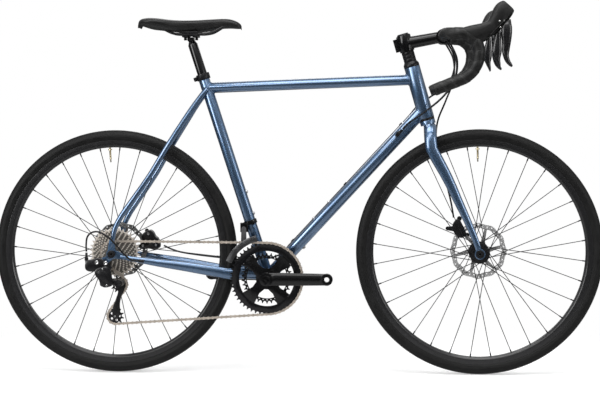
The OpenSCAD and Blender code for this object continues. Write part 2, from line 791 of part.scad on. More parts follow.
// Tape wound on the bar, in lengths that meet at its bends
tape_in = bar_r + tape_gap;
tape_seam = 0.03;
module tape_bend(r) {
    g = tape_seam / r * 57;
    rotate([0, 0, g]) rotate_extrude(angle = $sweep - 2 * g)
        translate([r, 0]) ring_section(tape_r, tape_in);
}
module tape_run(p, q) { pipe(p, q, tape_r, tape_t); }
module ring_section(ro, ri) {
    difference() {
        circle(r = ro);
        circle(r = ri);
    }
}
module bar_tape() {
    side = [0, bar_y, 0];
    color("#101012") both_sides() {
        tape_run(bar_c + [0, tape_from, 0], bar_c + [0, top_run, 0]);
        translate(bar_c + [bend_f, top_run, 0]) rotate([0, 0, 90]) tape_bend(bend_f, $sweep = 90);
        tape_run(bar_c + side + [bend_f + 0.01, 0, 0], turn_c + side + [-0.01, 0, bend_d]);
        translate(turn_c + side) rotate([90, 0, 0]) tape_bend(bend_d, $sweep = 90);
        tape_run(turn_c + side + [bend_d, 0, 0], back_c + side + [bend_b, 0, 0]);
        translate(back_c + side) rotate([90, 0, 0]) rotate([0, 0, drop_tilt - 90])
            tape_bend(bend_b, $sweep = 90 - drop_tilt);
        tape_run(drop_in + side, drop_out + side);
    }
}

// Brake hood: outline in [ahead of, above] the bar's front bend
hood_w = 38;
lever_slot = 20;
// Wider room under the slot, where the paddle swings sideways
paddle_room = 34;
pivot = [turn_c.x + 112, 0, turn_c.z + 79];
hood_outline = [
    [8, 62], [38, 71], [62, 79], [71, 94], [79, 112], [92, 125], [106, 131], [121, 127], [131, 113],
    [132, 98], [126, 84], [120, 70], [104, 58], [94, 50], [76, 38], [56, 26], [44, 10], [34, -4],
    [16, 0], [4, 30]];
module brake_hoods() {
    color("#121214") both_sides() translate([0, bar_y, 0]) difference() {
        intersection() {
            translate([turn_c.x, 0, turn_c.z]) plate(-hood_w / 2, hood_w / 2)
                offset_curve(hood_outline);
            translate([turn_c.x, 0, turn_c.z]) hood_plan();
        }
        bend(turn_c, bend_d, 0, 90, tape_r + 0.1);
        rod(turn_c + [-60, 0, bend_d], turn_c + [0.1, 0, bend_d], tape_r + 0.1);
        rod(turn_c + [bend_d, 0, 0.05], turn_c + [bend_d, 0, -20], tape_r + 0.3);
        // Slot for the lever and bore for its pin
        translate([turn_c.x, -lever_slot / 2, turn_c.z]) lever_space();
        translate([turn_c.x, 0, turn_c.z]) plate(-paddle_room / 2, paddle_room / 2)
            polygon([[60, 0], [150, 0], [150, 68], [110, 68], [80, 59]]);
        across(pivot, 2.5 + run_gap, -30, 30);
    }
}
module offset_curve(points) { polygon(curve(concat(points, [points[0]]), 3)); }
// Seen from above, the hood narrows toward its nose and tail
module hood_plan() {
    translate([0, 0, -60]) linear_extrude(240) polygon(curve([
        [0, -16], [40, -19], [80, -18], [118, -16], [131, -9], [134, 0], [131, 9], [118, 16], [80, 18],
        [40, 19], [0, 16]], 3));
}
module lever_space() {
    rotate([90, 0, 0]) translate([0, 0, -lever_slot]) linear_extrude(lever_slot)
        polygon([[58, 0], [150, 0], [150, 93], [100, 93], [84, 62]]);
}

shaft_z = -15;
shaft_r = 4;
block_w = lever_slot - 3;
blade_w = 14;
// The block turns on the pin; the blade's shaft turns in the block and carries the paddle
module lever_block() {
    c = pivot;
    color("silver") difference() {
        union() {
            translate([c.x, 0, c.z]) plate(-block_w / 2, block_w / 2) union() {
                circle(r = 8);
                polygon([[-8, 0], [8, 0], [8, shaft_z - 6.2], [-6, shaft_z - 6.2]]);
            }
            across(c, 2.5, -16, 16);
        }
        rod(c + [-20, 0, shaft_z], c + [20, 0, shaft_z], shaft_r + run_gap);
    }
}
blade_outline = [[17, -9], [22, -9], [22, -22], [15, -46], [13, -70], [13, -91], [18, -108], [25, -121],
    [20, -124], [8, -113], [-4, -97], [-8, -78], [-7, -62], [3, -48], [14, -34], [16, -24]];
paddle_outline = [[9.6, -9], [12.6, -9], [11, -28], [2, -43], [-12, -60], [-13.5, -78], [-9, -98], [-3, -112],
    [-4, -129], [-9, -130], [-20, -116], [-28, -99], [-31, -84], [-28, -66], [-20, -46], [-6, -33],
    [9.2, -27]];
module swing_arm(outline, x0, x1, w, hub, bored = true) {
    c = pivot;
    difference() {
        union() {
            rod(c + [x0, 0, shaft_z], c + [x1, 0, shaft_z], hub);
            translate([c.x, 0, c.z]) plate(-w / 2, w / 2) offset_curve(outline);
        }
        if (bored) rod(c + [x0 - 8, 0, shaft_z], c + [x1 + 8, 0, shaft_z], shaft_r + run_gap);
    }
}
module at_lever() { translate([0, bar_y, 0]) children(); }
module left_lever_block() { at_lever() lever_block(); }
module right_lever_block() { mirror([0, 1, 0]) left_lever_block(); }
module left_brake_lever() {
    color("#1c1c1e") at_lever() {
        swing_arm(blade_outline, 15.5, 24.9, blade_w, 8, false);
        rod(pivot + [-5, 0, shaft_z], pivot + [26, 0, shaft_z], shaft_r);
        rod(pivot + [24.8, 0, shaft_z], pivot + [27, 0, shaft_z], 6);
    }
}
module right_brake_lever() { mirror([0, 1, 0]) left_brake_lever(); }
module left_shift_paddle() { color("#151517") at_lever() swing_arm(paddle_outline, 8.6, 14.6, 11, 7.5); }
module right_shift_paddle() { mirror([0, 1, 0]) left_shift_paddle(); }

// ---- Wheels ----
rim_in = bead_r - rim_depth;
flange_h = 6.3;
rim_out = bead_r + flange_h;
flange_r = flange_d / 2;
spoke_r = spoke_d / 2;
spoke_seat = flange_r - 4;
// Places of the two flanges of each hub: [drive side, brake side]
front_flanges = [-33, 21];
rear_flanges = [-19, 33];
front_rotor_y = 39.5;
rear_rotor_y = 55.7;
rotor_r = rotor_d / 2;
valve_angle = [-1, 3];

module rim(c, lean) {
    w = rim_w / 2;
    t = rim_wall;
    color("#141416") difference() {
        spun(c) difference() {
            polygon([[rim_out, -w], [rim_out, -w + t], [bead_r, -w + t], [bead_r, w - t], [rim_out, w - t],
                [rim_out, w], [rim_in + 5, w], [rim_in, w - 5], [rim_in, 5 - w], [rim_in + 5, -w]]);
            polygon([[bead_r - t, t - w], [bead_r - t, w - t], [rim_in + 5.6, w - t], [rim_in + t, w - 5.6],
                [rim_in + t, 5.6 - w], [rim_in + 5.6, t - w]]);
        }
        for (i = [0:spoke_n - 1]) translate(c) rotate([0, spoke_rim_angle(i, lean), 0])
            translate([0, spoke_side(i) * 2, rim_in - 3]) cylinder(h = 20, r = 2.2);
        translate(c) rotate([0, lean, 0]) translate([0, 0, rim_in - 5]) cylinder(h = 40, r = 3 + run_gap);
    }
}
// Valve through the rim, with its nut and cap
module valve(c, lean) {
    color("silver") translate(c) rotate([0, lean, 0]) {
        translate([0, 0, rim_in - 34]) cylinder(h = 60, r = 3);
        translate([0, 0, rim_in - 4.1]) cylinder(h = 4, r = 5.5);
        translate([0, 0, rim_in - 42]) cylinder(h = 8, r = 2);
    }
}

// Spokes are numbered around the rim, alternating between the flanges; the valve sits between two.
function spoke_rim_angle(i, lean) = lean + (i + 0.5) * 360 / spoke_n;
function spoke_side(i) = i % 2 == 0 ? -1 : 1;
function spoke_lead(i) = floor(i / 2) % 2 == 0 ? -1 : 1;
// A spoke crosses three others: it leaves its flange this far round from its rim hole
cross_turn = 3 * 360 / (spoke_n / 2) - 360 / spoke_n / 2;

module spokes(c, flanges, lean) {
    color("#1b1b1d") for (i = [0:spoke_n - 1]) {
        side = spoke_side(i);
        lead = spoke_lead(i);
        a1 = spoke_rim_angle(i, lean);
        a0 = a1 + lead * cross_turn;
        y0 = (side < 0 ? flanges[0] : flanges[1]) + lead * 1.5;
        p = c + [spoke_seat * sin(a0), y0, spoke_seat * cos(a0)];
        q = c + [rim_in * sin(a1), side * 2, rim_in * cos(a1)];
        rod(p, q + 2 * unit(q - p), spoke_r);
        rod(q - 11 * unit(q - p), q + 4 * unit(q - p), 1.9);
    }
}

module tyre(c) {
    half = tyre_w / 2;
    mid = bead_r + half;
    w = rim_w / 2 - rim_wall;
    color("#18181a") spun(c) union() {
        difference() {
            translate([mid, 0]) circle(r = half);
            translate([mid, 0]) circle(r = half - casing_t);
            translate([rim_in - 20, -half - 1]) square([rim_out + 0.3 - rim_in + 20, tyre_w + 2]);
        }
        for (s = [-1, 1]) translate([bead_r + run_gap, s * (w - 1.6) - 1.5]) square([flange_h + 1.5, 3]);
    }
}

// Hub: a shell between two flanges, with end caps out to the dropouts and a rotor boss at the left
module hub(c, flanges, half, rotor_y, shell_r, right_end) {
    color("#151517") difference() {
        union() {
            across(c, shell_r, flanges[0], flanges[1]);
            for (y = flanges) across(c, flange_r, y - 1.5, y + 1.5);
            across(c, 19, flanges[1] + 1, rotor_y - rotor_t / 2 - run_gap);
            across(c, 15, rotor_y - 2, rotor_y + 5);
            across(c, 11, rotor_y + 4, half - run_gap);
            across(c, 13, right_end, flanges[0]);
        }
        across(c, axle_r + run_gap, -half - 1, half + 1);
    }
}
module front_rotor() { rotor(front_c, front_rotor_y); }
module rear_rotor() { rotor(rear_c, rear_rotor_y); }
module front_tyre() { tyre(front_c); }
module rear_tyre() { tyre(rear_c); }
module front_rim() {
    rim(front_c, valve_angle[0]);
    valve(front_c, valve_angle[0]);
}
module rear_rim() {
    rim(rear_c, -valve_angle[1]);
    valve(rear_c, -valve_angle[1]);
}
module front_spokes() { spokes(front_c, front_flanges, valve_angle[0]); }
module rear_spokes() { spokes(rear_c, rear_flanges, -valve_angle[1]); }
module front_hub() { hub(front_c, front_flanges, front_y, front_rotor_y, 14, run_gap - front_y); }
module rear_hub() { hub(rear_c, rear_flanges, rear_y, rear_rotor_y, 16, rear_flanges[0] - 2.5); }

// Brake rotor: a wavy rim with rows of holes, on six arms
module rotor(c, y) {
    color("silver") translate([c.x, 0, c.z]) plate(y - rotor_t / 2, y + rotor_t / 2) difference() {
        polygon([for (a = [0:3:359]) (rotor_r - 1.5 + 1.5 * cos(12 * a)) * turn2(a)]);
        polygon([for (a = [0:5:359]) (rotor_r - 15 + 1.5 * cos(12 * a)) * turn2(a)]);
        for (k = [0:35]) rotate(k * 10) translate([rotor_r - 5 - 3 * (k % 3), 0]) circle(r = 1.7, $fn = 16);
    }
    color("silver") translate([c.x, 0, c.z]) plate(y - rotor_t / 2, y + rotor_t / 2) difference() {
        union() {
            circle(r = 26);
            for (k = [0:5]) rotate(60 * k)
                polygon([[20, -8], [rotor_r - 14.5, 10], [rotor_r - 14.5, 17], [20, 6]]);
        }
        circle(r = 15 + run_gap);
        for (k = [0:5]) rotate(60 * k) translate([22, 0]) circle(r = 2.5, $fn = 16);
    }
}

// ---- Sprockets and chain ----
roller_r = 3.88;
seat_hole = 4.2;
function pitch_r(n) = pitch / (2 * sin(180 / n));

// A sprocket's outline with its roller seats at angle a0 and every 360/n on from it
module sprocket_shape(n, a0) {
    r = pitch_r(n);
    seat = [-70, -35, 0, 35, 70];
    polygon([for (k = [0:n - 1])
        let (a = a0 + 360 * k / n, half = 180 / n, lip = asin(1 / r))
        each concat(
            [for (b = seat) r * turn2(a) - seat_hole * turn2(a - b)],
            [(r + 2.9) * turn2(a + half - lip), (r + 2.9) * turn2(a + half + lip)])]);
}

cog_teeth = [11, 13, 15, 17, 19, 21, 23, 25, 27, 30, 34];
cog_pitch = 3.74;
cog_t = 1.6;
first_cog_y = -66;
chain_cog = 3;
cog_y = first_cog_y + chain_cog * cog_pitch;
body_r = 16.5;
small_ring_y = ring_y - 7;

// The four wheels that the chain runs on, in the order it meets them:
// [centre, teeth, +1 where it turns with the crank or -1 against it, y]
rd_pivot = rear_c + [24, 0, -80];
guide_at_p = [-7, -8];
cage_len = 91;
guide_c = rd_pivot + [guide_at_p.x, 0, guide_at_p.y];
function tension_c(a) = guide_c + cage_len * [cos(a), 0, sin(a)];
function wheels(a) = [
    [bb_c, ring_n, 1, -ring_y], [tension_c(a), 11, 1, cog_y], [guide_c, 11, -1, cog_y],
    [rear_c, cog_teeth[chain_cog], 1, cog_y]];

// Heading of the straight run from wheel p to wheel q, and its length
function run_dir(p, q) =
    let (d = q[0] - p[0], k = q[2] * pitch_r(q[1]) - p[2] * pitch_r(p[1]), l = sqrt(d.x^2 + d.z^2 - k^2))
    [atan2(d.z, d.x) + atan2(k, l), l];
function left_of(a) = [-sin(a), 0, cos(a)];
function touch(w, a) = w[0] + w[2] * pitch_r(w[1]) * left_of(a);
function turned(w, a_in, a_out) = ((w[2] * (a_in - a_out)) % 360 + 360) % 360;

// The path as pieces: [start length, length, wheel or undef, heading in, start point, y0, y1]
function pieces(a) =
    let (
        w = wheels(a),
        n = len(w),
        runs = [for (i = [0:n - 1]) run_dir(w[i], w[(i + 1) % n])],
        arcs = [for (i = [0:n - 1])
            turned(w[i], runs[(i + n - 1) % n][0], runs[i][0]) / 360 * w[i][1] * pitch]
    )
    [for (i = [0:n - 1])
        let (s = i == 0 ? 0 : sum([for (j = [0:i - 1]) arcs[j] + runs[j][1]]), h = runs[(i + n - 1) % n][0])
        each [
            [s, arcs[i], w[i], h, touch(w[i], h), w[i][3], w[i][3]],
            [s + arcs[i], runs[i][1], undef, runs[i][0], touch(w[i], runs[i][0]), w[i][3],
                w[(i + 1) % n][3]]]];
function sum(v, i = 0) = i >= len(v) ? 0 : v[i] + sum(v, i + 1);
function path_len(a) = let (p = pieces(a), e = p[len(p) - 1]) e[0] + e[1];

// The cage swings until the chain is just its own length: find that angle by halving
function solve_cage(lo, hi, n) = n == 0 ? (lo + hi) / 2
    : let (m = (lo + hi) / 2)
        path_len(m) > link_n * pitch ? solve_cage(lo, m, n - 1) : solve_cage(m, hi, n - 1);
cage_angle = solve_cage(-60, -150, 30);
chain_pieces = pieces(cage_angle);
tension_at = tension_c(cage_angle);

// Share of the sideways shift made u along a straight run, which starts and ends in line
run_in = 32;
function side_share(u, l) = l < 3 * run_in ? u / l : min(1, max(0, (u - run_in) / (l - 2 * run_in)));

// A point of the chain's path, s along it
function on_path(s) =
    let (e = [for (p = chain_pieces) if (s >= p[0] - 1e-9 && s < p[0] + p[1]) p][0], u = s - e[0])
    e[2] == undef
        ? e[4] + u * [cos(e[3]), 0, sin(e[3])] + [0, mix(e[5], e[6], side_share(u, e[1])), 0]
        : e[2][0] + e[2][2] * pitch_r(e[2][1]) * left_of(e[3] - e[2][2] * u / (e[2][1] * pitch) * 360)
            + [0, e[5], 0];
// Angle of a roller seat on wheel i of the path, seen with X to the right and Z up
function seat_phase(i) =
    let (e = chain_pieces[2 * i], w = e[2])
    (e[3] + w[2] * 90) + w[2] * e[0] / (w[1] * pitch) * 360;

// One link between pins p and q: plates at half-width y, with pins or with rollers
module link(p, q, y, t, outer) {
    d = q - p;
    l = norm(d);
    translate(p) rotate([0, -asin(d.z / l), atan2(d.y, d.x)]) {
        for (s = [-1, 1]) plate(s * y - t / 2, s * y + t / 2) difference() {
            link_shape(l);
            if (!outer) for (x = [0, l]) translate([x, 0]) circle(r = pin_hole, $fn = 24);
        }
        for (x = [0, l]) translate([x, 0, 0])
            if (outer) across([0, 0, 0], pin_r, -y - t / 2, y + t / 2);
            else difference() {
                across([0, 0, 0], roller_r, t / 2 - y, y - t / 2);
                across([0, 0, 0], pin_hole, -3, 3);
            }
    }
}
pin_r = 1.8;
pin_hole = 1.9;
plate_t = 0.75;
inner_plate_y = 1.47;
outer_plate_y = 2.34;
link_h = 3.9;
module link_shape(l) {
    for (x = [0, l]) translate([x, 0]) circle(r = link_h);
    translate([0, -2.7]) square([l, 5.4]);
}

module chain() {
    color("silver") for (i = [0:link_n - 1]) {
        p = on_path(i * pitch + 0.001);
        q = on_path(((i + 1) % link_n) * pitch + 0.001);
        if (i % 2 == 0) link(p, q, outer_plate_y, plate_t, true);
        else link(p, q, inner_plate_y, plate_t, false);
    }
}

module cog(n, t, hole, a0) {
    linear_extrude(t, center = true) difference() {
        sprocket_shape(n, a0);
        circle(r = hole);
        // Lightening holes between hub and teeth on the larger cogs
        if (pitch_r(n) > 40) for (k = [0:5]) rotate(60 * k + 10)
            translate([mix(hole + 6, pitch_r(n) - 6, 0.45), 0]) circle(r = (pitch_r(n) - hole - 14) / 3.2);
    }
}
// Turns an outline drawn as [x, z] so that its thickness lies across the bicycle at y
module at_wheel(c, y) { translate([c.x, y, c.z]) rotate([90, 0, 0]) children(); }

module cassette() {
    color("silver") {
        for (k = [0:len(cog_teeth) - 1])
            at_wheel(rear_c, first_cog_y + k * cog_pitch)
                cog(cog_teeth[k], cog_t, body_r + run_gap, seat_phase(3));
        difference() {
            across(rear_c, 15, first_cog_y - 4, first_cog_y - cog_t / 2 - run_gap);
            across(rear_c, 10, first_cog_y - 5, 0);
            for (a = [0:30:359]) translate(rear_c) rotate([0, a, 0]) across([11.5, 0, 0], 1.2, -75, -68);
        }
        for (k = [0:len(cog_teeth) - 2]) difference() {
            across(rear_c, body_r + 3, first_cog_y + k * cog_pitch + cog_t / 2 + run_gap,
                first_cog_y + (k + 1) * cog_pitch - cog_t / 2 - run_gap);
            across(rear_c, body_r + run_gap, -80, 0);
        }
    }
    // Freehub body that carries the cogs
    color("#222222") difference() {
        union() {
            across(rear_c, body_r, first_cog_y - cog_t / 2, rear_flanges[0] - 3);
            across(rear_c, 9, run_gap - rear_y, first_cog_y);
        }
        across(rear_c, axle_r + run_gap, -rear_y - 1, 0);
    }
}

// ---- Chainset ----
arm_angles = [44, 135, 227, 309];
bolt_circle = 55;
ring_in = 78;
small_in = 50;
spider_in = -ring_y - 1.4;
spider_out = -ring_y - 5.6;
pedal_hole_r = 7.15;
pedal_c = bb_c + [crank_len, 0, 0];

function bolt_at(a) = bb_c + bolt_circle * [cos(a), 0, sin(a)];
module ring_tabs(r0, r1, w) {
    for (a = arm_angles) rotate(a) polygon([[r0, -w], [r1, -w * 1.5], [r1, w * 1.5], [r0, w]]);
}
module chainrings() {
    color("#161618") at_wheel(bb_c, -ring_y) {
        linear_extrude(2, center = true) difference() {
            sprocket_shape(ring_n, seat_phase(0));
            circle(r = ring_in);
        }
        linear_extrude(2, center = true) difference() {
            ring_tabs(bolt_circle - 7, ring_in + 2, 9);
            for (a = arm_angles) rotate(a) translate([bolt_circle, 0]) circle(r = 6 + run_gap);
        }
        linear_extrude(4, center = true) difference() {
            circle(r = pitch_r(ring_n) - 5);
            circle(r = ring_in);
        }
    }
    color("#1d1d1f") at_wheel(bb_c, -small_ring_y) linear_extrude(2, center = true) difference() {
        sprocket_shape(small_ring_n, 0);
        circle(r = small_in + 7);
        for (k = [0:small_ring_n - 1]) rotate(360 / small_ring_n * (k + 0.5))
            translate([pitch_r(small_ring_n) - 7.6, 0]) circle(r = 1.6, $fn = 16);
    }
    color("#1d1d1f") at_wheel(bb_c, -small_ring_y) linear_extrude(2, center = true) difference() {
        ring_tabs(small_in - 2, small_in + 8, 8);
        for (a = arm_angles) rotate(a) translate([bolt_circle, 0]) circle(r = 4 + run_gap);
    }
    color("silver") for (a = arm_angles)
        at_wheel(bolt_at(a), -small_ring_y) {
            translate([0, 0, -1.4]) cylinder(h = 2.4 + 4, r = 4);
            translate([0, 0, -2.6]) cylinder(h = 1.55, r = 5.4);
        }
}

// Crank arm rows: [along the arm, y of its middle, half thickness, half height]
arm_rows = [[0, 0, 8, 19], [25, 0.5, 7.6, 18.6], [60, 2, 7, 18.2], [110, 4, 6.6, 17.4],
    [150, 5, 6.3, 16.8], [170, 5.2, 6.2, 16.6]];
arm_rows_len = 170;
arm_mid = crank_q / 2 - 11.4;
module crank_arm(dir) {
    rows = [for (p = curve(arm_rows, 2))
        [bb_c.x + dir * p[0] * crank_len / arm_rows_len, arm_mid + p[1], bb_c.z, p[2], p[3]]];
    sweep(rows, 24);
    across(bb_c, 19, arm_mid - 8, arm_mid + 8);
    across(bb_c + dir * [crank_len, 0, 0], 16.6, arm_mid - 1, crank_q / 2);
}
// Depth of the axle's end in the arm, from the spider's outer face
axle_seat = 14;
// The spider seen from the drive side: four arms that meet the inside of the large ring
module spider_shape() {
    intersection() {
        union() {
            circle(r = 30);
            for (a = arm_angles) rotate(a) polygon([[16, -17], [44, -13], [ring_in - 0.5, -23],
                [ring_in - 0.5, 23], [44, 13], [16, 17]]);
        }
        circle(r = ring_in - 0.3);
    }
}
module right_crank() {
    // Arm
    color("#161618") difference() {
        union() {
            mirror([0, 1, 0]) crank_arm(1);
            across(bb_c, 17, -arm_mid, spider_out - run_gap);
        }
        across(bb_c, spindle_r + run_gap, spider_out - axle_seat - run_gap, 0);
        across(bb_c, 9, -100, -arm_mid + 4);
        across(pedal_c, pedal_hole_r, -crank_q / 2 - 1, 0);
    }
    // Spider, splined on the axle against the arm
    color("#161618") difference() {
        union() {
            at_wheel(bb_c, spider_in) linear_extrude(spider_in - spider_out) spider_shape();
            for (a = arm_angles) across(bolt_at(a), 6, spider_in - 1, -small_ring_y - 1 - run_gap);
        }
        across(bb_c, spindle_r + run_gap, spider_out - 1, 0);
        for (a = arm_angles) across(bolt_at(a), 4 + run_gap, -ring_y + 0.5, 0);
    }
    // Axle, running from the right arm through the bearings to the left arm
    color("silver") difference() {
        across(bb_c, spindle_r, spider_out - axle_seat, arm_mid + 7);
        across(bb_c, spindle_r - 3, spider_out - 2, arm_mid + 8);
    }
}
module left_crank() {
    c = bb_c - [crank_len, 0, 0];
    color("#161618") difference() {
        union() {
            crank_arm(-1);
            across(bb_c, 19, arm_mid - 17, arm_mid);
        }
        across(bb_c, spindle_r + run_gap, 0, arm_mid + 20);
        across(c, pedal_hole_r, 0, crank_q / 2 + 1);
    }
    // Preload cap
    color("#161618") difference() {
        across(bb_c, spindle_r - run_gap, arm_mid + 7.2, arm_mid + 9.5);
        across(bb_c, 4, arm_mid + 8, arm_mid + 12);
    }
}

// ---- Rear derailleur ----
hanger_c = rear_c + [hanger.x, 0, hanger.y];
hanger_out = -rear_y - dropout_t - 3;
rd_u = rear_c + [-16, -73, -38];
rd_link_len = 54;
rd_link_lean = 28.6;
rd_l = rd_u + rd_link_len * [0, -sin(rd_link_lean), -cos(rd_link_lean)];
cage_gap = 4.4;
cage_t = 1.5;

module x_rod(p, r, x0, x1) { rod(p + [x0, 0, 0], p + [x1, 0, 0], r); }

module rd_bracket() {
    color("#19191b") difference() {
        union() {
            across(hanger_c, 11, hanger_out - 9, hanger_out - run_gap);
            // Arm down to the upper pivot, and rearward to the cable's barrel
            translate([hanger_c.x - 6, hanger_out - 9, hanger_c.z - 26]) cube([12, 8.9, 26]);
            for (x = [-17, 13]) translate([rd_u.x + x, hanger_out - 9, rd_u.z - 5.5]) cube([4, 18, 11]);
            translate([rd_u.x - 17, hanger_out - 9, rd_u.z - 5.5]) cube([34, 3, 11]);
            translate([hanger_c.x - 32, hanger_out - 9, hanger_c.z + 2]) cube([26, 6, 7]);
            rod(hanger_c + [-32, hanger_out - 6, 0], hanger_c + [-33, hanger_out - 6, 26], 4.6);
        }
        across(hanger_c, 5 + run_gap, -120, 0);
        x_rod(rd_u, 2.5 + run_gap, -30, 30);
        rod(hanger_c + [-32.3, hanger_out - 6, 8], hanger_c + [-33.1, hanger_out - 6, 32],
            housing_r + run_gap);
    }
    color("#2a2a2c") difference() {
        union() {
            across(hanger_c, 5, hanger_out - 12, hanger_out + 6);
            across(hanger_c, 6.7, hanger_out - 13, hanger_out - 9 - run_gap);
        }
        across(hanger_c, 2.5, hanger_out - 14, hanger_out - 10);
    }
}
module rd_links() {
    color("#202022") difference() {
        union() {
            x_rod(rd_u, 5, -12.7, 12.7);
            x_rod(rd_l, 5, -12.7, 12.7);
            along(rd_u, rd_l) translate([-3.5, -12.4, 3.4]) cube([7, 24.8, rd_link_len - 6.8]);
        }
        x_rod(rd_l, 2.5 + run_gap, -30, 30);
    }
    color("silver") x_rod(rd_u, 2.5, -17.5, 17.5);
}
module rd_knuckle() {
    y_in = cog_y - cage_gap - cage_t - 1;
    color("#19191b") difference() {
        union() {
            across(rd_pivot, 12, rd_l.y - 2, y_in);
            for (x = [-17, 13]) translate([rd_l.x + x, rd_l.y - 5, rd_l.z - 5.5]) cube([4, 11, 11]);
            translate([rd_l.x + 13, rd_l.y - 5, rd_pivot.z - 8]) cube([20, 10, 14]);
            translate([rd_l.x - 17, rd_l.y - 8.4, rd_l.z - 5.5]) cube([34, 3, 11]);
            translate([rd_l.x - 17, rd_l.y - 8.4, rd_l.z - 5.5]) cube([4, 8, 11]);
            translate([rd_l.x + 13, rd_l.y - 8.4, rd_l.z - 5.5]) cube([4, 8, 11]);
        }
        across(rd_pivot, 5 + run_gap, rd_l.y - 1, 0);
    }
    color("silver") x_rod(rd_l, 2.5, -16.5, 16.5);
}
module band(p, q, r0, r1) {
    d = q - p;
    a = atan2(d.y, d.x);
    translate(p) circle(r = r0);
    translate(q) circle(r = r1);
    polygon([p + r0 * turn2(a + 90), p + r0 * turn2(a - 90), q + r1 * turn2(a - 90),
        q + r1 * turn2(a + 90)]);
}
function flat(v) = [v.x, v.z];
module rd_cage() {
    p = flat(rd_pivot);
    g = flat(guide_c);
    t = flat(tension_at);
    color("#1b1b1d") {
        difference() {
            union() {
                plate(cog_y - cage_gap - cage_t, cog_y - cage_gap) union() {
                    band(p, g, 11, 9);
                    band(g, t, 9, 7.5);
                }
                across(rd_pivot, 5, rd_l.y - 1 + 0.5, cog_y - cage_gap);
            }
            across(guide_c, 2.5 + run_gap, -80, 0);
            across(tension_at, 2.5 + run_gap, -80, 0);
        }
        plate(cog_y + cage_gap, cog_y + cage_gap + cage_t) difference() {
            band(g, t, 9, 8);
            translate(g) circle(r = 2.5 + run_gap);
            translate(t) circle(r = 2.5 + run_gap);
        }
        for (c = [guide_c, tension_at]) {
            across(c, 2.5, cog_y - cage_gap - cage_t - 0.3, cog_y + cage_gap + cage_t + 0.8);
            for (s = [-1, 1]) difference() {
                beside(c, 4.5, cog_y, s, 1.2, cage_gap - 0.05);
                across(c, 2.5 + run_gap, -80, 0);
            }
        }
    }
}
module pulley(c, i) {
    color("#0f0f10") at_wheel(c, cog_y) linear_extrude(2, center = true) difference() {
        sprocket_shape(11, seat_phase(i));
        circle(r = 2.5 + run_gap);
        for (k = [0:4]) rotate(72 * k) translate([12, 0]) circle(r = 3.2, $fn = 24);
    }
}
module tension_pulley() { pulley(tension_at, 1); }
module guide_pulley() { pulley(guide_c, 2); }

// ---- Front derailleur ----
fd_at = bb_c + 163 * seat_u;
fd_arc = [104, 156];
fd_in = pitch_r(ring_n) + 7;
fd_h = 17;
fd_tail = (fd_in + fd_h / 2) * turn2(fd_arc[1] - 3);
module front_derailleur_body() {
    color("#19191b") difference() {
        union() {
            rod(fd_at - 6 * seat_u, fd_at + 6 * seat_u, seat_r + 3);
            translate([fd_at.x - 26, -30, fd_at.z - 26]) cube([22, 14, 26]);
            translate([fd_at.x - 6, -27, fd_at.z - 5]) cube([20, 8, 10]);
        }
        rod(fd_at - 40 * seat_u, fd_at + 40 * seat_u, seat_r + run_gap);
        across([fd_at.x - 15, 0, fd_at.z - 16], 4 + run_gap, -60, -17.5);
        translate([fd_at.x, 0, fd_at.z - 10]) cube([60, 0.8, 40]);
    }
    color("silver") rod([fd_at.x + 10, -29, fd_at.z], [fd_at.x + 10, -26.9, fd_at.z], 4.2);
}
module arc_band(r0, r1, a0, a1) {
    polygon(concat([for (a = [a0:2:a1]) r0 * turn2(a)], [for (a = [a1:-2:a0]) r1 * turn2(a)]));
}
module front_derailleur_cage() {
    c = [bb_c.x, 0, bb_c.z];
    color("silver") translate(c) {
        difference() {
            plate(-ring_y - 7, -ring_y + 6.2) arc_band(fd_in, fd_in + fd_h, fd_arc[0], fd_arc[1]);
            plate(-ring_y - 5.6, -ring_y + 4.8) union() {
                arc_band(fd_in - 1, fd_in + fd_h - 1.6, fd_arc[0] - 2, fd_arc[1] + 2);
                arc_band(fd_in - 1, fd_in + fd_h + 1, fd_arc[0] + 10, fd_arc[1] + 2);
            }
        }
        across([fd_tail.x, 0, fd_tail.y], 1.6, -ring_y - 6, -ring_y + 5.2);
    }
    color("#19191b") {
        across([fd_at.x - 15, 0, fd_at.z - 16], 4, -ring_y + 6.3, -25);
        plate(-ring_y + 6.25, -ring_y + 9)
            band(flat(bb_c) + (fd_in + 8) * turn2(124), [fd_at.x - 15, fd_at.z - 16], 8, 7);
    }
}

// ---- Brakes ----
// Caliper seen from the side, [ahead, above] its middle. The rotor runs at y; k turns it with its stay,
// and its feet stand at y = feet.
module caliper(c, y, hub_c, k, feet) {
    color("#1b1b1d") difference() {
        union() {
            translate([c.x, 0, c.z]) rotate([0, -k, 0]) {
                plate(y - 12, y + 13) polygon(curve([[-24, -14], [24, -14], [25, 2], [15, 13],
                    [0, 17], [-15, 14], [-25, 4], [-24, -14]], 2));
                for (x = [-26, 26]) translate([x, feet, -14]) across([0, 0, 0], 6.5, -5, 5);
            }
        }
        across(hub_c, rotor_r + 3, y - 4.2, y + 4.2);
        translate([c.x, 0, c.z]) rotate([0, -k, 0]) {
            across([0, 0, 2], 4 + run_gap, y + 4, y + 30);
            for (x = [-26, 26]) translate([x, 0, -22]) cylinder(h = 40, r = bolt_r + run_gap);
        }
    }
    // Brake pads on each side of the rotor
    color("#5a5047") intersection() {
        for (s = [-1, 1]) beside(hub_c, rotor_r - 1, y, s, 1.2, 4.1);
        translate([c.x, y - 6, c.z]) rotate([0, -k, 0]) translate([-11, 0, -13]) cube([22, 12, 22]);
    }
}
rear_cal_c = rear_c + [86, 0, 24];
rear_cal_turn = -7.6;
front_cal_c = front_c + [-55, 0, 62];
front_cal_turn = 115;
module rear_caliper() { caliper(rear_cal_c, rear_rotor_y, rear_c, rear_cal_turn, 64); }
module front_caliper() { caliper(front_cal_c, front_rotor_y, front_c, front_cal_turn, 49); }

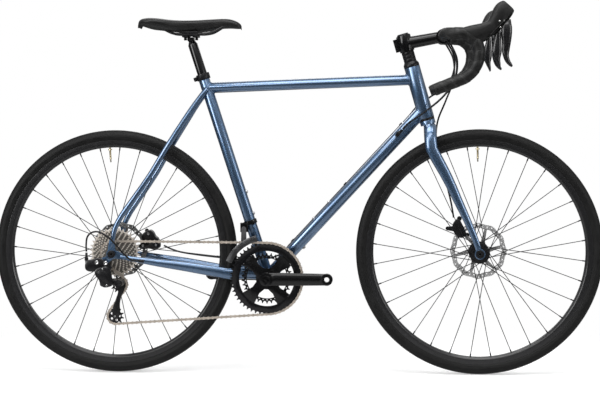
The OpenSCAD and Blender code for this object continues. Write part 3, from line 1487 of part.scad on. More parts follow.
// The caliper's arm, on a shaft that runs into the caliper's outer side
arm_len = 30;
module caliper_arm(c, y, k, a) {
    color("#26262a") translate([c.x, 0, c.z]) rotate([0, -k, 0]) translate([0, 0, 2]) {
        plate(y + 13.3, y + 17) rotate(a) band([0, 0], [arm_len, 0], 9, 5.5);
        across([0, 0, 0], 4, y + 5, y + 17.5);
        rotate([0, -a, 0]) across([arm_len, 0, 0], 3.4, y + 17, y + 20);
    }
}
module rear_caliper_arm() { caliper_arm(rear_cal_c, rear_rotor_y, rear_cal_turn, 118); }
module front_caliper_arm() { caliper_arm(front_cal_c, front_rotor_y, front_cal_turn, 62); }

// ---- Cable housings ----
module housing(points, n) { color("#101012") sweep(round_path(curve(points, n), housing_r), 8); }

bx = bar_c.x;
bz = bar_c.z;
stop_in = stop_c + 17.3 * dt_u;
guide_in = bb_c + (guide_list[2] + 5.3) * dt_u + guide_out * guide_n;
right_shift_route = [[bx + 16, -73, bz - 20], [bx + 36, -62, bz - 66], [bx + 30, -48, bz - 122],
    [bx - 2, -39, bz - 168], [bx - 50, -34, bz - 208], [bx - 92, -27, bz - 236],
    [stop_in.x + 9, -stop_in.y - 0.8, stop_in.z + 10], [stop_in.x, -stop_in.y, stop_in.z]];
left_shift_route = [[bx + 16, 73, bz - 20], [bx + 38, 62, bz - 62], [bx + 34, 50, bz - 116],
    [bx + 2, 41, bz - 165], [bx - 48, 36, bz - 207], [bx - 92, 27, bz - 236],
    [stop_in.x + 9, stop_in.y + 0.8, stop_in.z + 10], stop_in];
rear_brake_route = [[bx + 8, -73, bz - 17], [bx + 28, -60, bz - 58], [bx + 26, -30, bz - 104],
    [bx + 4, 4, bz - 140], [bx - 36, 29, bz - 168], [bx - 74, 30, bz - 196],
    [guide_in.x + 22, 19, guide_in.z + 24], guide_in];
front_brake_route = [[bx + 8, 73, bz - 17], [bx + 30, 66, bz - 62], [bx + 30, 58, bz - 120],
    [bx + 8, 54, bz - 180], [bx - 14, 55, bz - 236], [bx - 18, 60, bz - 292], [bx - 5, 62, bz - 352],
    [bx + 13, 63, bz - 420], [bx + 24, 63, bz - 466], [bx + 29, 61, bz - 494], [bx + 32, 58, bz - 512]];
module control_cables() {
    housing(right_shift_route, 3);
    housing(left_shift_route, 3);
    housing(rear_brake_route, 3);
    housing(front_brake_route, 2);
}

function along_guides(s) = bb_c + s * dt_u + guide_out * guide_n;
rear_brake_down = concat(
    [for (s = [guide_list[2] + 4.6, 540, 342, 230, 122, 100]) along_guides(s)],
    [[-36, 17, 343], [-66, 22, 329], [-98, 26, 322], [-140, 28, 318], [-205, 35, 324], [-290, 50, 332],
        [-350, 62, 341], [-392, 72, 357]]);
rd_route = [[-437.2, -80.5, 327.5], [-458, -83, 330], [-478, -87, 347], [-500, -89, 373], [-522, -90, 395],
    [-546, -90, 409], [-567, -89, 408], [-581, -87, 395], [-584.8, -86, 372], [-584.1, -86, 351.6]];
module rear_cable_housings() {
    housing(rear_brake_down, 2);
    housing(rd_route, 3);
}

head_tube();
top_tube();
down_tube();
seat_tube();
bottom_bracket_shell();
chainstays();
seatstays();
dropouts();
seat_collar();
bottle_bolts();
cable_stops();
headset_cups();
bearing_cups();
rear_axle();
rear_caliper();
rear_cable_housings();
chain();
front_derailleur_body();
front_derailleur_cage();
seatpost();
saddle_clamp();
saddle_rails();
saddle();
fork_steerer();
fork_blades();
stem();
handlebar();
bar_tape();
brake_hoods();
front_axle();
front_caliper();
control_cables();
right_lever_block();
left_lever_block();
right_brake_lever();
left_brake_lever();
right_shift_paddle();
left_shift_paddle();
front_tyre();
front_rim();
front_spokes();
front_hub();
front_rotor();
rear_tyre();
rear_rim();
rear_spokes();
rear_hub();
rear_rotor();
cassette();
right_crank();
chainrings();
left_crank();
front_caliper_arm();
rear_caliper_arm();
rd_bracket();
rd_links();
rd_knuckle();
rd_cage();
guide_pulley();
tension_pulley();
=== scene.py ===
"""A steel road bicycle with disc brakes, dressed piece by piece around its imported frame."""
import json
import math

import bmesh
import bpy
from mathutils import Matrix, Vector
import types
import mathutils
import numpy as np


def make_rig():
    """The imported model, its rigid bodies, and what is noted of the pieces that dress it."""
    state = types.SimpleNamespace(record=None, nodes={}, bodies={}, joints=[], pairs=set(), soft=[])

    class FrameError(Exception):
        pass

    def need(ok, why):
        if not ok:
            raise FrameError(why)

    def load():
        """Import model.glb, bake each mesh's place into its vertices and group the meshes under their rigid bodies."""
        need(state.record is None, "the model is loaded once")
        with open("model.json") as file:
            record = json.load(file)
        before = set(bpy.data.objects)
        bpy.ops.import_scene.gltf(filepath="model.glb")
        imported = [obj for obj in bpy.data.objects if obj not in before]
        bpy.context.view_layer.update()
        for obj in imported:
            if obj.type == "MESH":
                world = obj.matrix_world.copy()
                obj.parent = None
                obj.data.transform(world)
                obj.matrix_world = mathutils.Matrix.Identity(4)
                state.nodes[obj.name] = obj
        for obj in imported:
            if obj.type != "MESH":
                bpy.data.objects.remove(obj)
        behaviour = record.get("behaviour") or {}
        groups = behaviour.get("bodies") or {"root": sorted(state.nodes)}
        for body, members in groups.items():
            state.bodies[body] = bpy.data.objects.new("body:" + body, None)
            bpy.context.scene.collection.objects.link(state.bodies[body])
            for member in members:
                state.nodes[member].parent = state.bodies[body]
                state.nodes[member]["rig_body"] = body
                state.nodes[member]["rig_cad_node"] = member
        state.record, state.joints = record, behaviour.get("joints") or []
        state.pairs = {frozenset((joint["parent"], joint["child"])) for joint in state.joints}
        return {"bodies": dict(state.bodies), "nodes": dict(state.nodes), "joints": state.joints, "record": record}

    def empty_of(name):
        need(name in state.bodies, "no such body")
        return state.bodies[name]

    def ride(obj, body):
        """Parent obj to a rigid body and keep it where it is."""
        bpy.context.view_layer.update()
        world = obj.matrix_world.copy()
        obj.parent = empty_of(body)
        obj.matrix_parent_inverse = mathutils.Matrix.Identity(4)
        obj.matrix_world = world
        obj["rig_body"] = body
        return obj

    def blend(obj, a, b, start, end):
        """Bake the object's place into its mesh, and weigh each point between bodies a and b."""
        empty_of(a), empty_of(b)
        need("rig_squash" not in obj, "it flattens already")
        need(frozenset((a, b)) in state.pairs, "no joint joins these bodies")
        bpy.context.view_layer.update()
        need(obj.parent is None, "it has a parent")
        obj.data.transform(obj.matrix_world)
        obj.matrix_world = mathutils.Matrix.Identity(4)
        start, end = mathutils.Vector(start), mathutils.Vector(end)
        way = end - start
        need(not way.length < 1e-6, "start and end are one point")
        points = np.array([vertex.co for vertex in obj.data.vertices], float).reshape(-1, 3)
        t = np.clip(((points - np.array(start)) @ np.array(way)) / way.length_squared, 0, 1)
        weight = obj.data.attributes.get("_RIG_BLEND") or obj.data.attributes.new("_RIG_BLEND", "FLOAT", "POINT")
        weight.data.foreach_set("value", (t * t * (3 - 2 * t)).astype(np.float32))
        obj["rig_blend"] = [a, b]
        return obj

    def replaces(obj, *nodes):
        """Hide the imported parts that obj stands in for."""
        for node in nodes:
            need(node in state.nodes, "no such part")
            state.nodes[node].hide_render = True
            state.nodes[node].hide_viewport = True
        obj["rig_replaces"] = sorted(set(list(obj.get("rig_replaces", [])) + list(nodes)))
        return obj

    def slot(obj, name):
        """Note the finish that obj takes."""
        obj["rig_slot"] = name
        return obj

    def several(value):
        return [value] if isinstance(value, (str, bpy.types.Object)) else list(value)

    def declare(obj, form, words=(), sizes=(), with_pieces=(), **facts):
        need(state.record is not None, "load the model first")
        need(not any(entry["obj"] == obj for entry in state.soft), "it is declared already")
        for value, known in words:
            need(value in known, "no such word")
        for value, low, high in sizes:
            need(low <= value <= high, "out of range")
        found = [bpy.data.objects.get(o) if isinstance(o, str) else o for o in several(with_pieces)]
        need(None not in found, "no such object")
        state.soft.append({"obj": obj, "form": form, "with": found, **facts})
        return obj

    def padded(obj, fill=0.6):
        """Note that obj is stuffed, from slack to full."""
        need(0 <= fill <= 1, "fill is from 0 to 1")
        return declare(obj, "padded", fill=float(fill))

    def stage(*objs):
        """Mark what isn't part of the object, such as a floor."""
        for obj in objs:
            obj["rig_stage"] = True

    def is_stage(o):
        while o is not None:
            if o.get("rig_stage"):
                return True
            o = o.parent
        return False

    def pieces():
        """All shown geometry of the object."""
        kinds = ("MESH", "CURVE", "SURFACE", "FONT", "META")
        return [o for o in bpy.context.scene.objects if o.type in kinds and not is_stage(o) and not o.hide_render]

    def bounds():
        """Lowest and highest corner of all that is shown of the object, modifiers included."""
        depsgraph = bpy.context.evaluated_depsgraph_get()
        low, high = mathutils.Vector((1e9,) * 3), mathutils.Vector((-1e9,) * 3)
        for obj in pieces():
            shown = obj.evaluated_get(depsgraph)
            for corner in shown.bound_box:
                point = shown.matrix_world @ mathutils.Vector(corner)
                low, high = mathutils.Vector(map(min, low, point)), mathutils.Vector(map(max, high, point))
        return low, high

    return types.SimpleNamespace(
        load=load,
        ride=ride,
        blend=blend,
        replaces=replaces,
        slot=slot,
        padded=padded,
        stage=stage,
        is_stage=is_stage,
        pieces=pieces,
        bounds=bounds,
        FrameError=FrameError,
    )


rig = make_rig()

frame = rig.load()
cad_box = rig.bounds()

# ---- Room ----
# A pale studio: white paper for a floor, a broad softbox overhead and another behind, and a tall one
# at each side. The camera stands about four metres off the drive side, a little lower than the top tube.
camera_at = Vector((0.293, -4.248, 0.776))
camera_turn, camera_dip, camera_roll = 3.8, 3.8, -0.23  # degrees
camera_lens, sensor_width = 90.5, 36  # millimetres


def placed(name, data):
    """A new object in the scene."""
    made = bpy.data.objects.new(name, data)
    bpy.context.scene.collection.objects.link(made)
    return made


def make_camera():
    """A long lens, turned toward the rear wheel and dipped."""
    data = bpy.data.cameras.new("camera")
    data.lens = camera_lens
    data.sensor_width = sensor_width
    data.clip_end = 100
    camera = placed("camera", data)
    turn, dip = math.radians(camera_turn), math.radians(camera_dip)
    back = Vector((math.sin(turn) * math.cos(dip), -math.cos(turn) * math.cos(dip), math.sin(dip)))
    aim = (-back).to_track_quat("-Z", "Y").to_matrix().to_4x4()
    camera.matrix_world = Matrix.Translation(camera_at) @ aim @ Matrix.Rotation(
        math.radians(camera_roll), 4, "Z")
    bpy.context.scene.camera = camera


make_camera()
bpy.context.scene.view_settings.view_transform = "Standard"


class Value:
    """A shader socket that takes part in sums: each operator adds its Math node."""

    def __init__(self, finish, socket):
        self.finish = finish
        self.socket = socket

    def maths(self, operation, *others):
        terms = dict(enumerate((self, *others)))
        return self.finish.node("ShaderNodeMath", {"operation": operation}, terms)

    def __add__(self, other):
        return self.maths("ADD", other)

    def __sub__(self, other):
        return self.maths("SUBTRACT", other)

    def __rsub__(self, other):
        return (self * -1) + other

    def __mul__(self, other):
        return self.maths("MULTIPLY", other)

    def __truediv__(self, other):
        return self.maths("DIVIDE", other)

    def __lt__(self, other):
        return self.maths("LESS_THAN", other)

    __radd__ = __add__
    __rmul__ = __mul__

    def both(self, other):
        """Where this mask and the other one hold."""
        return self.maths("MINIMUM", other)

    def either(self, other):
        """Where this mask or the other one holds."""
        return self.maths("MAXIMUM", other)

    def ramp(self, low, high, to_low=0.0, to_high=1.0):
        """Maps low..high to to_low..to_high, held at the ends."""
        values = {"Value": self, "From Min": low, "From Max": high, "To Min": to_low, "To Max": to_high}
        return self.finish.node("ShaderNodeMapRange", {"clamp": True}, values)


class Finish:
    """A node material. Every node comes from node(): its type, its settings, then what its sockets take."""

    def __init__(self, name, world=None):
        self.made = world or bpy.data.materials.new(name)
        self.made.use_nodes = True
        self.tree = self.made.node_tree
        self.tree.nodes.clear()

    def node(self, kind, settings=None, sockets=None, out=0):
        made = self.tree.nodes.new(kind)
        for name, value in (settings or {}).items():
            setattr(made, name, value)
        for name, value in (sockets or {}).items():
            if isinstance(value, Value):
                self.tree.links.new(value.socket, made.inputs[name])
            elif value is not None:
                made.inputs[name].default_value = value
        return Value(self, made.outputs[out]) if made.outputs else made

    def place(self):
        """Where a point is on its piece, in metres."""
        return self.node("ShaderNodeTexCoord", out="Object")

    def parts(self, vector):
        """The x, y and z of a vector."""
        split = self.node("ShaderNodeSeparateXYZ", None, {0: vector})
        return [Value(self, socket) for socket in split.socket.node.outputs]

    def ray_is(self, kind):
        """1 for that kind of ray, and 0 for any other."""
        return self.node("ShaderNodeLightPath", out=f"Is {kind} Ray")

    def noise(self, scale, detail=3.0, roughness=0.5, stretch=None):
        place = self.place()
        if stretch:
            place = self.node("ShaderNodeVectorMath", {"operation": "MULTIPLY"}, {0: place, 1: stretch})
        return self.node("ShaderNodeTexNoise", None, {
            "Vector": place, "Scale": scale, "Detail": detail, "Roughness": roughness})

    def cells(self, scale):
        sockets = {"Vector": self.place(), "Scale": scale}
        return self.node("ShaderNodeTexVoronoi", None, sockets, out="Distance")

    def blend(self, share, first, second):
        """A colour between two, by share."""
        pair = [c if isinstance(c, Value) else (*c, 1) for c in (first, second)]
        return self.node("ShaderNodeMix", {"data_type": "RGBA"}, {0: share, 6: pair[0], 7: pair[1]}, out=2)

    def relief(self, height, depth, under=None):
        """A bump of that height map, where 1 stands depth metres proud."""
        return self.node("ShaderNodeBump", None, {
            "Strength": 1.0, "Distance": depth, "Height": height, "Normal": under})

    def surface(self, colour, roughness, metallic=0.0, normal=None, coat=0.0, coat_roughness=0.1,
                specular=0.5, coat_ior=1.5):
        sockets = {"Base Color": colour if isinstance(colour, Value) else (*colour, 1),
                   "Roughness": roughness, "Metallic": metallic, "Normal": normal,
                   "Coat Weight": coat, "Coat Roughness": coat_roughness,
                   "Coat IOR": coat_ior, "Specular IOR Level": specular}
        shader = self.node("ShaderNodeBsdfPrincipled", None, sockets)
        self.node("ShaderNodeOutputMaterial", None, {"Surface": shader})
        return self.made


def build_room():
    """The world, the paper floor and four softboxes."""
    world = bpy.data.worlds.new("studio")
    bpy.context.scene.world = world
    shade = Finish("studio", world)
    seen = shade.ray_is("Camera").either(shade.ray_is("Transmission"))
    glossy = shade.ray_is("Glossy")
    # Reflections see a bright strip bent round the upper left of the camera, in a room that is dim
    # elsewhere. Everything else takes the plain level of diffuse light.
    strip_light, diffuse_light = 3.4, 0.62
    across, away, up = shade.parts(shade.node("ShaderNodeTexCoord", out="Generated"))
    toward = away * -1
    strip = toward.ramp(0.60, 0.68).both(toward.ramp(0.86, 0.78)) * (up - across * 0.8).ramp(0.25, 0.5)
    right_card = across.ramp(0.72, 0.9) * toward.ramp(-0.1, 0.1) * 0.9
    sky = up.ramp(0.06, 0.6, 0.1, 0.5)
    sweep = away.ramp(0.1, 0.7, 0.0, 0.34)
    room = sky.either(sweep).either(right_card) + strip * strip_light
    level = seen.either(glossy * room).either((1 - seen) * (1 - glossy) * diffuse_light)
    light = shade.node("ShaderNodeBackground", None, {"Color": (1, 1, 1, 1), "Strength": level})
    shade.node("ShaderNodeOutputWorld", None, {"Surface": light})

    # The paper takes the bicycle's shadow close by and fades to clean white farther off.
    # Reflections see it bright under the wheels and dim out in the room.
    finish = Finish("floor_paper")
    half_shadow = 0.62
    seen = finish.ray_is("Camera").either(finish.ray_is("Transmission"))
    glossy = finish.ray_is("Glossy")
    across, away, _ = finish.parts(finish.place())
    along = (across.maths("ABSOLUTE") - half_shadow).either(0.0)
    distance = (along * along + away * away).maths("SQRT")
    paper = finish.node("ShaderNodeBsdfDiffuse", None, {"Color": (0.9, 0.9, 0.9, 1)})
    lift = finish.node("ShaderNodeEmission", None, {"Color": (1, 1, 1, 1), "Strength": seen * 0.3})
    lit = finish.node("ShaderNodeAddShader", None, {0: paper, 1: lift})
    shine = seen.either(glossy * distance.ramp(0.5, 1.5, 0.6, 0.07))
    plain = finish.node("ShaderNodeEmission", None, {"Color": (1, 1, 1, 1), "Strength": shine})
    share = (seen * distance.ramp(0.16, 0.75)).either(glossy)
    both = finish.node("ShaderNodeMixShader", None, {0: share, 1: lit, 2: plain})
    finish.node("ShaderNodeOutputMaterial", None, {"Surface": both})
    reach = 40
    mesh = bpy.data.meshes.new("floor")
    mesh.from_pydata([(x * reach, y * reach, 0) for x, y in ((-1, -1), (1, -1), (1, 1), (-1, 1))], [],
                     [(0, 1, 2, 3)])
    mesh.materials.append(finish.made)
    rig.stage(placed("floor", mesh))

    # Name, where it hangs, what it faces, width, height and watts
    softboxes = (("overhead", (0.0, -0.8, 3.4), (0, 0, 0.5), 3.2, 1.4, 60),
                 ("left", (-3.2, -2.6, 1.5), (-0.2, 0, 0.6), 1.0, 2.4, 46),
                 ("right", (3.4, -2.2, 1.5), (0.2, 0, 0.6), 0.8, 2.2, 26),
                 ("behind", (0.0, 3.4, 2.4), (0, 0, 0.5), 3.0, 1.2, 22))
    for name, spot, aim, wide, tall, watts in softboxes:
        data = bpy.data.lights.new(name, "AREA")
        data.shape = "RECTANGLE"
        data.size, data.size_y, data.energy = wide, tall, watts
        turn = (Vector(aim) - Vector(spot)).to_track_quat("-Z", "Y").to_matrix().to_4x4()
        placed(name, data).matrix_world = Matrix.Translation(spot) @ turn


build_room()


# ---- Frame ----
# Steel tubes, mitred and welded: each joint has a small rippled bead. Blue metallic paint under a clear
# coat covers them all. Collar, stops, cups, bolts and axles are turned or cast, with their edges broken.
body_of = {node: body for body, nodes in frame["record"]["behaviour"]["bodies"].items() for node in nodes}


def metallic_paint(name, deep, pale):
    """Blue paint with fine aluminium flake under a clear coat."""
    f = Finish(name)
    drift = f.noise(7, 2).ramp(0.3, 0.7)
    flake = f.cells(1500).ramp(0.1, 0.7)
    colour = f.blend((drift * 0.4 + flake * 0.2).ramp(0, 0.7), deep, pale)
    peel = f.relief(f.noise(120, 1), 0.000008)
    return f.surface(colour, f.noise(700, 1).ramp(0.3, 0.7, 0.25, 0.33), 0.86, peel, 1.0, 0.03,
                     coat_ior=1.8)


def black_metal(name, colour=(0.007, 0.007, 0.008), rough=0.34, coat=0.0, specular=0.3):
    """Black anodised or painted aluminium: a fine blasted grain with faint handling marks."""
    f = Finish(name)
    grain = f.noise(2600, 2)
    marks = f.noise(60, 4, 0.65).ramp(0.55, 0.75)
    tone = f.blend(marks * 0.35, colour, tuple(c * 2.2 for c in colour))
    return f.surface(tone, grain.ramp(0.3, 0.7, rough - 0.05, rough + 0.08) + marks * 0.06, 0.0,
                     f.relief(grain, 0.00002), coat, 0.08, specular)


def steel(name, colour=(0.55, 0.55, 0.56), rough=0.3, shade=0.72, metallic=1.0):
    """Bare steel or alloy, with hair-fine marks along the piece."""
    f = Finish(name)
    scratch = f.noise(900, 3, 0.6, stretch=(0.06, 1.0, 1.0))
    smear = f.noise(45, 3).ramp(0.35, 0.7)
    tone = f.blend(smear * 0.5, colour, tuple(c * shade for c in colour))
    return f.surface(tone, scratch.ramp(0.3, 0.7, rough - 0.08, rough + 0.1), metallic,
                     f.relief(scratch, 0.00002))


blue = metallic_paint("frame_paint", (0.055, 0.12, 0.235), (0.13, 0.23, 0.38))
satin_black = black_metal("satin_black")
bright = steel("bright_steel")


def finished(name, mesh, finish):
    """An object of that mesh in that finish."""
    mesh.materials.append(finish)
    return placed(name, mesh)


def stands_for(piece, node, slot=None):
    """The piece shows a node of the frame, rides on its body and takes its material slot or another."""
    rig.replaces(piece, node)
    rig.ride(piece, body_of[node])
    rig.slot(piece, slot or frame["nodes"][node].data.materials[0].name)


def mesh_of(name, points, faces, finish, smooth=True, recalculate=False):
    """An object of those points and faces. recalculate turns every face outward."""
    mesh = bpy.data.meshes.new(name)
    mesh.from_pydata([tuple(p) for p in points], [], faces)
    mesh.validate()
    if recalculate:
        shape = bmesh.new()
        shape.from_mesh(mesh)
        bmesh.ops.recalc_face_normals(shape, faces=shape.faces)
        shape.to_mesh(mesh)
        shape.free()
    mesh.shade_smooth() if smooth else mesh.shade_flat()
    return finished(name, mesh, finish)


def rings_to_faces(rings, sides, closed_run=False):
    """Faces that join rings of points, each with the same number of sides."""
    faces = []
    for i in range(rings if closed_run else rings - 1):
        for k in range(sides):
            a, b = i * sides, ((i + 1) % rings) * sides
            faces.append((a + k, a + (k + 1) % sides, b + (k + 1) % sides, b + k))
    if not closed_run:
        faces.append(tuple(range(sides))[::-1])
        faces.append(tuple((rings - 1) * sides + k for k in range(sides)))
    return faces


def joined(name, pieces):
    """One object from several meshes that share a finish."""
    shape = bmesh.new()
    for one in pieces:
        shape.from_mesh(one.data)
    mesh = pieces[0].data.copy()
    shape.to_mesh(mesh)
    shape.free()
    for one in pieces:
        bpy.data.objects.remove(one)
    mesh.name = name
    return placed(name, mesh)


def kept_mesh(holder, name):
    """What an object's modifiers make of it, as a plain mesh in its place."""
    bpy.context.view_layer.update()
    seen = holder.evaluated_get(bpy.context.evaluated_depsgraph_get())
    mesh = bpy.data.meshes.new_from_object(seen)
    mesh.name = name
    holder.modifiers.clear()
    bpy.data.objects.remove(holder)
    return placed(name, mesh)


def softened(node, finish, width=0.0005):
    """Stands for a machined node: its own shape with the sharp edges broken."""
    merge_within, flat_angle, sharp_angle = 0.000004, math.radians(0.5), math.radians(38)
    mesh = frame["nodes"][node].data.copy()
    mesh.materials.clear()
    shape = bmesh.new()
    shape.from_mesh(mesh)
    bmesh.ops.remove_doubles(shape, verts=shape.verts, dist=merge_within)
    bmesh.ops.dissolve_limit(shape, angle_limit=flat_angle, verts=shape.verts, edges=shape.edges)
    shape.to_mesh(mesh)
    shape.free()
    mesh.shade_smooth()
    rough = finished(node + "_rough", mesh, finish)
    edge = rough.modifiers.new("edge", "BEVEL")
    edge.width, edge.segments = width, 2
    edge.limit_method, edge.angle_limit = "ANGLE", sharp_angle
    edge.use_clamp_overlap = True
    edge.harden_normals = True
    stands_for(kept_mesh(rough, node + "_finished"), node)


def swept(line, radius, sides, first_side=Vector((0, 1, 0)), closed=False):
    """Rings of points round a line. radius is a number or a function of (length so far, turn)."""
    points, travelled = [], 0.0
    side = first_side
    last = len(line) - 1
    for i, here in enumerate(line):
        before = line[i - 1 if i or closed else 0]
        after = line[(i + 1) % len(line) if closed else min(i + 1, last)]
        along = (after - before).normalized()
        if i:
            travelled += (here - line[i - 1]).length
        side = (side - along * side.dot(along)).normalized()
        up = along.cross(side)
        for k in range(sides):
            a = math.tau * k / sides
            r = radius(travelled, a) if callable(radius) else radius
            points.append(here + r * (math.cos(a) * side + math.sin(a) * up))
    return points


def even_path(points, step):
    """The same line with a point every step."""
    line, carry = [points[0]], 0.0
    for a, b in zip(points, points[1:]):
        length = (b - a).length
        if length < 1e-6:
            continue
        at = step - carry
        while at <= length:
            line.append(a.lerp(b, at / length))
            at += step
        carry = (carry + length) % step
    return line


def where_tubes_meet(foot, along, radius, through, axis, other_radius):
    """The loop on a round tube, running from foot along its line, where it first meets another tube."""
    steps = 96
    side = along.cross(axis).normalized()
    up = along.cross(side)
    square_on = along - axis * along.dot(axis)
    loop = []
    for i in range(steps + 1):
        a = math.tau * i / steps
        start = foot + radius * (math.cos(a) * side + math.sin(a) * up)
        offset = start - through
        offset -= axis * offset.dot(axis)
        square, double = square_on.dot(square_on), 2 * square_on.dot(offset)
        rest = offset.dot(offset) - other_radius ** 2
        root = math.sqrt(max(double * double - 4 * square * rest, 0))
        loop.append(start - along * (double + root) / (2 * square))
    return loop


def weld_bead(name, loop):
    """A rippled fillet along a closed loop."""
    ripple_pitch, bead_thickness, ripple, sides = 0.0024, 0.0019, 0.14, 10
    line = even_path(loop, 0.0005)

    def ripples(travelled, turn):
        wave = abs(math.sin(math.pi * travelled / ripple_pitch))
        return bead_thickness * (1 - ripple + ripple * wave)

    first = line[0] - sum(line, Vector()) / len(line)
    points = swept(line, ripples, sides, first, True)
    return mesh_of(name, points, rings_to_faces(len(line), sides, True), blue, recalculate=True)


def slope(degrees):
    """Unit vector in the frame's plane that leans back by that angle from the ground."""
    a = math.radians(degrees)
    return Vector((-math.cos(a), 0, math.sin(a)))


seat_angle, head_angle = 72.3, 74.0
crank_axle = Vector((-0.080766, 0, 0.275))
fork_length, fork_rake, head_length, seat_length = 0.404, 0.038, 0.148, 0.602
top_tube_radius, down_tube_radius, seat_tube_radius, head_tube_radius = 0.015, 0.0175, 0.0159, 0.022
shell_radius = 0.0205
front_axle_at = Vector((0.515, 0, 0.346))
head_up, seat_up = slope(head_angle), slope(seat_angle)
head_ahead = Vector((head_up.z, 0, -head_up.x))
head_low = front_axle_at - fork_rake * head_ahead + fork_length * head_up
head_high = head_low + head_length * head_up
seat_top = crank_axle + seat_length * seat_up
top_tube_drop, top_tube_below_rim, down_tube_rise = 0.040, 0.036, 0.026
top_rear, top_front = seat_top - top_tube_drop * seat_up, head_high - top_tube_below_rim * head_up
down_front = head_low + down_tube_rise * head_up
top_ahead, down_ahead = (top_front - top_rear).normalized(), (down_front - crank_axle).normalized()
lateral = Vector((0, 1, 0))
joints_welded = (
    ("top_to_head", top_rear, top_ahead, top_tube_radius, head_low, head_up, head_tube_radius),
    ("top_to_seat", top_front, -top_ahead, top_tube_radius, crank_axle, seat_up, seat_tube_radius),
    ("down_to_head", crank_axle, down_ahead, down_tube_radius, head_low, head_up, head_tube_radius),
    ("down_to_shell", down_front, -down_ahead, down_tube_radius, crank_axle, lateral, shell_radius),
    ("seat_to_shell", seat_top, -seat_up, seat_tube_radius, crank_axle, lateral, shell_radius))
beads = joined("weld_beads", [weld_bead(name, where_tubes_meet(*tubes)) for name, *tubes in joints_welded])
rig.ride(beads, "frame")
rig.slot(beads, "frame_paint")
for node in ("head_tube", "top_tube", "down_tube", "seat_tube", "bottom_bracket_shell", "dropouts",
             "chainstays", "seatstays"):
    softened(node, blue, 0.0003)
for node in ("seat_collar", "headset_cups", "bearing_cups", "rear_axle", "cable_stops"):
    softened(node, satin_black)
softened("bottle_bolts", bright, 0.0003)

# ---- Fork, steerer and stem ----
# A cast crown with two tapered steel blades, painted with the frame. The steerer stands up through the
# head tube, three spacers and the forged stem, and a capped bolt sets the bearings.
gloss_black = black_metal("gloss_black", (0.003, 0.003, 0.0035), 0.15, 0.4)
softened("fork_blades", blue, 0.0004)
softened("fork_steerer", satin_black, 0.0006)
softened("stem", gloss_black, 0.0008)
softened("handlebar", satin_black, 0.0004)
softened("front_axle", satin_black)

# ---- Tyres ----
# Folding all-road tyres, 622 x 35: a rubber casing with a grooved crown, rows of small blocks on its
# shoulders and a rim strip. Each is one moulded ring, held by its two beads inside the rim.
bead_radius, tyre_width, casing_wall = 0.311, 0.035, 0.003
wheel_steps, block_count = 240, 220
crown_grooves = (9, 20, 31)  # degrees round the casing from its crown
block_rows = ((40, 0.0), (-40, 0.5), (35, 0.5), (-35, 0.0))  # degrees from the crown, share of a step ahead


def spun(name, outline, centre, finish):
    """A closed outline of (radius, side) points turned about the axle line through centre."""
    points = []
    for i in range(wheel_steps):
        a = math.tau * i / wheel_steps
        points += [centre + Vector((r * math.sin(a), y, r * math.cos(a))) for r, y in outline]
    return mesh_of(name, points, rings_to_faces(wheel_steps, len(outline), True), finish, recalculate=True)


def joint_at(name):
    """Where a joint of the frame turns."""
    found = next(j for j in frame["joints"] if j["name"] == name)
    return Vector(found["pos_m"])


def smooth_step(x, low, high):
    """0 below low, 1 above high, and an even rise between."""
    t = min(max((x - low) / (high - low), 0), 1)
    return t * t * (3 - 2 * t)


def tyre_rubber():
    """Black rubber, mottled and a little dusty."""
    f = Finish("tyre_rubber")
    dust = f.noise(26, 4, 0.6).ramp(0.4, 0.7)
    tone = f.blend(dust * 0.35, (0.006, 0.006, 0.006), (0.016, 0.016, 0.016))
    mottle = f.noise(1500, 2)
    return f.surface(tone, dust.ramp(0, 1, 0.5, 0.64), 0.0, f.relief(mottle, 0.00006), specular=0.2)


def tyre_outline():
    """Outside of the casing from one bead to the other, then back along the inside."""
    half = tyre_width / 2
    middle = bead_radius + half
    last, steps = 138, 64
    tread_edge, wall_edge, strip_rise, groove_depth, groove_reach = 0.0005, 0.0004, 0.0005, 0.0004, 1.6
    outer, inner = [], []
    for i in range(steps + 1):
        a = math.radians(-last + 2 * last * i / steps)
        around = abs(math.degrees(a))
        skin = half - tread_edge * smooth_step(around, 46, 50) - wall_edge * smooth_step(around, 96, 100)
        skin += strip_rise * (smooth_step(around, 112, 114) - smooth_step(around, 118, 120))
        skin -= groove_depth * sum(
            smooth_step(around, g - groove_reach, g) * (1 - smooth_step(around, g, g + groove_reach))
            for g in crown_grooves)
        for edge, size in ((outer, skin), (inner, half - casing_wall)):
            edge.append((middle + size * math.cos(a), size * math.sin(a)))
    return outer + inner[::-1]


def shoulder_block(across):
    """One small raised lozenge of the tread's shoulder, at the top of the wheel."""
    half = tyre_width / 2
    middle = bead_radius + half
    lean = math.radians(across)
    out = Vector((0, math.sin(lean), math.cos(lean)))
    side = Vector((0, math.cos(lean), -math.sin(lean)))
    ahead = Vector((1, 0, 0))
    half_long, half_wide, skew = 0.0017, 0.0026, 0.0002
    points = []
    for height, share in ((-0.0003, 1.0), (0.00025, 0.75)):
        base = Vector((0, 0, middle)) + out * (half + height)
        points += [base + share * (u * ahead + v * side)
                   for u, v in ((-half_long, skew), (0, half_wide), (half_long, -skew), (0, -half_wide))]
    return points, [(3, 2, 1, 0), (0, 1, 5, 4), (1, 2, 6, 5), (2, 3, 7, 6), (3, 0, 4, 7), (4, 5, 6, 7)]


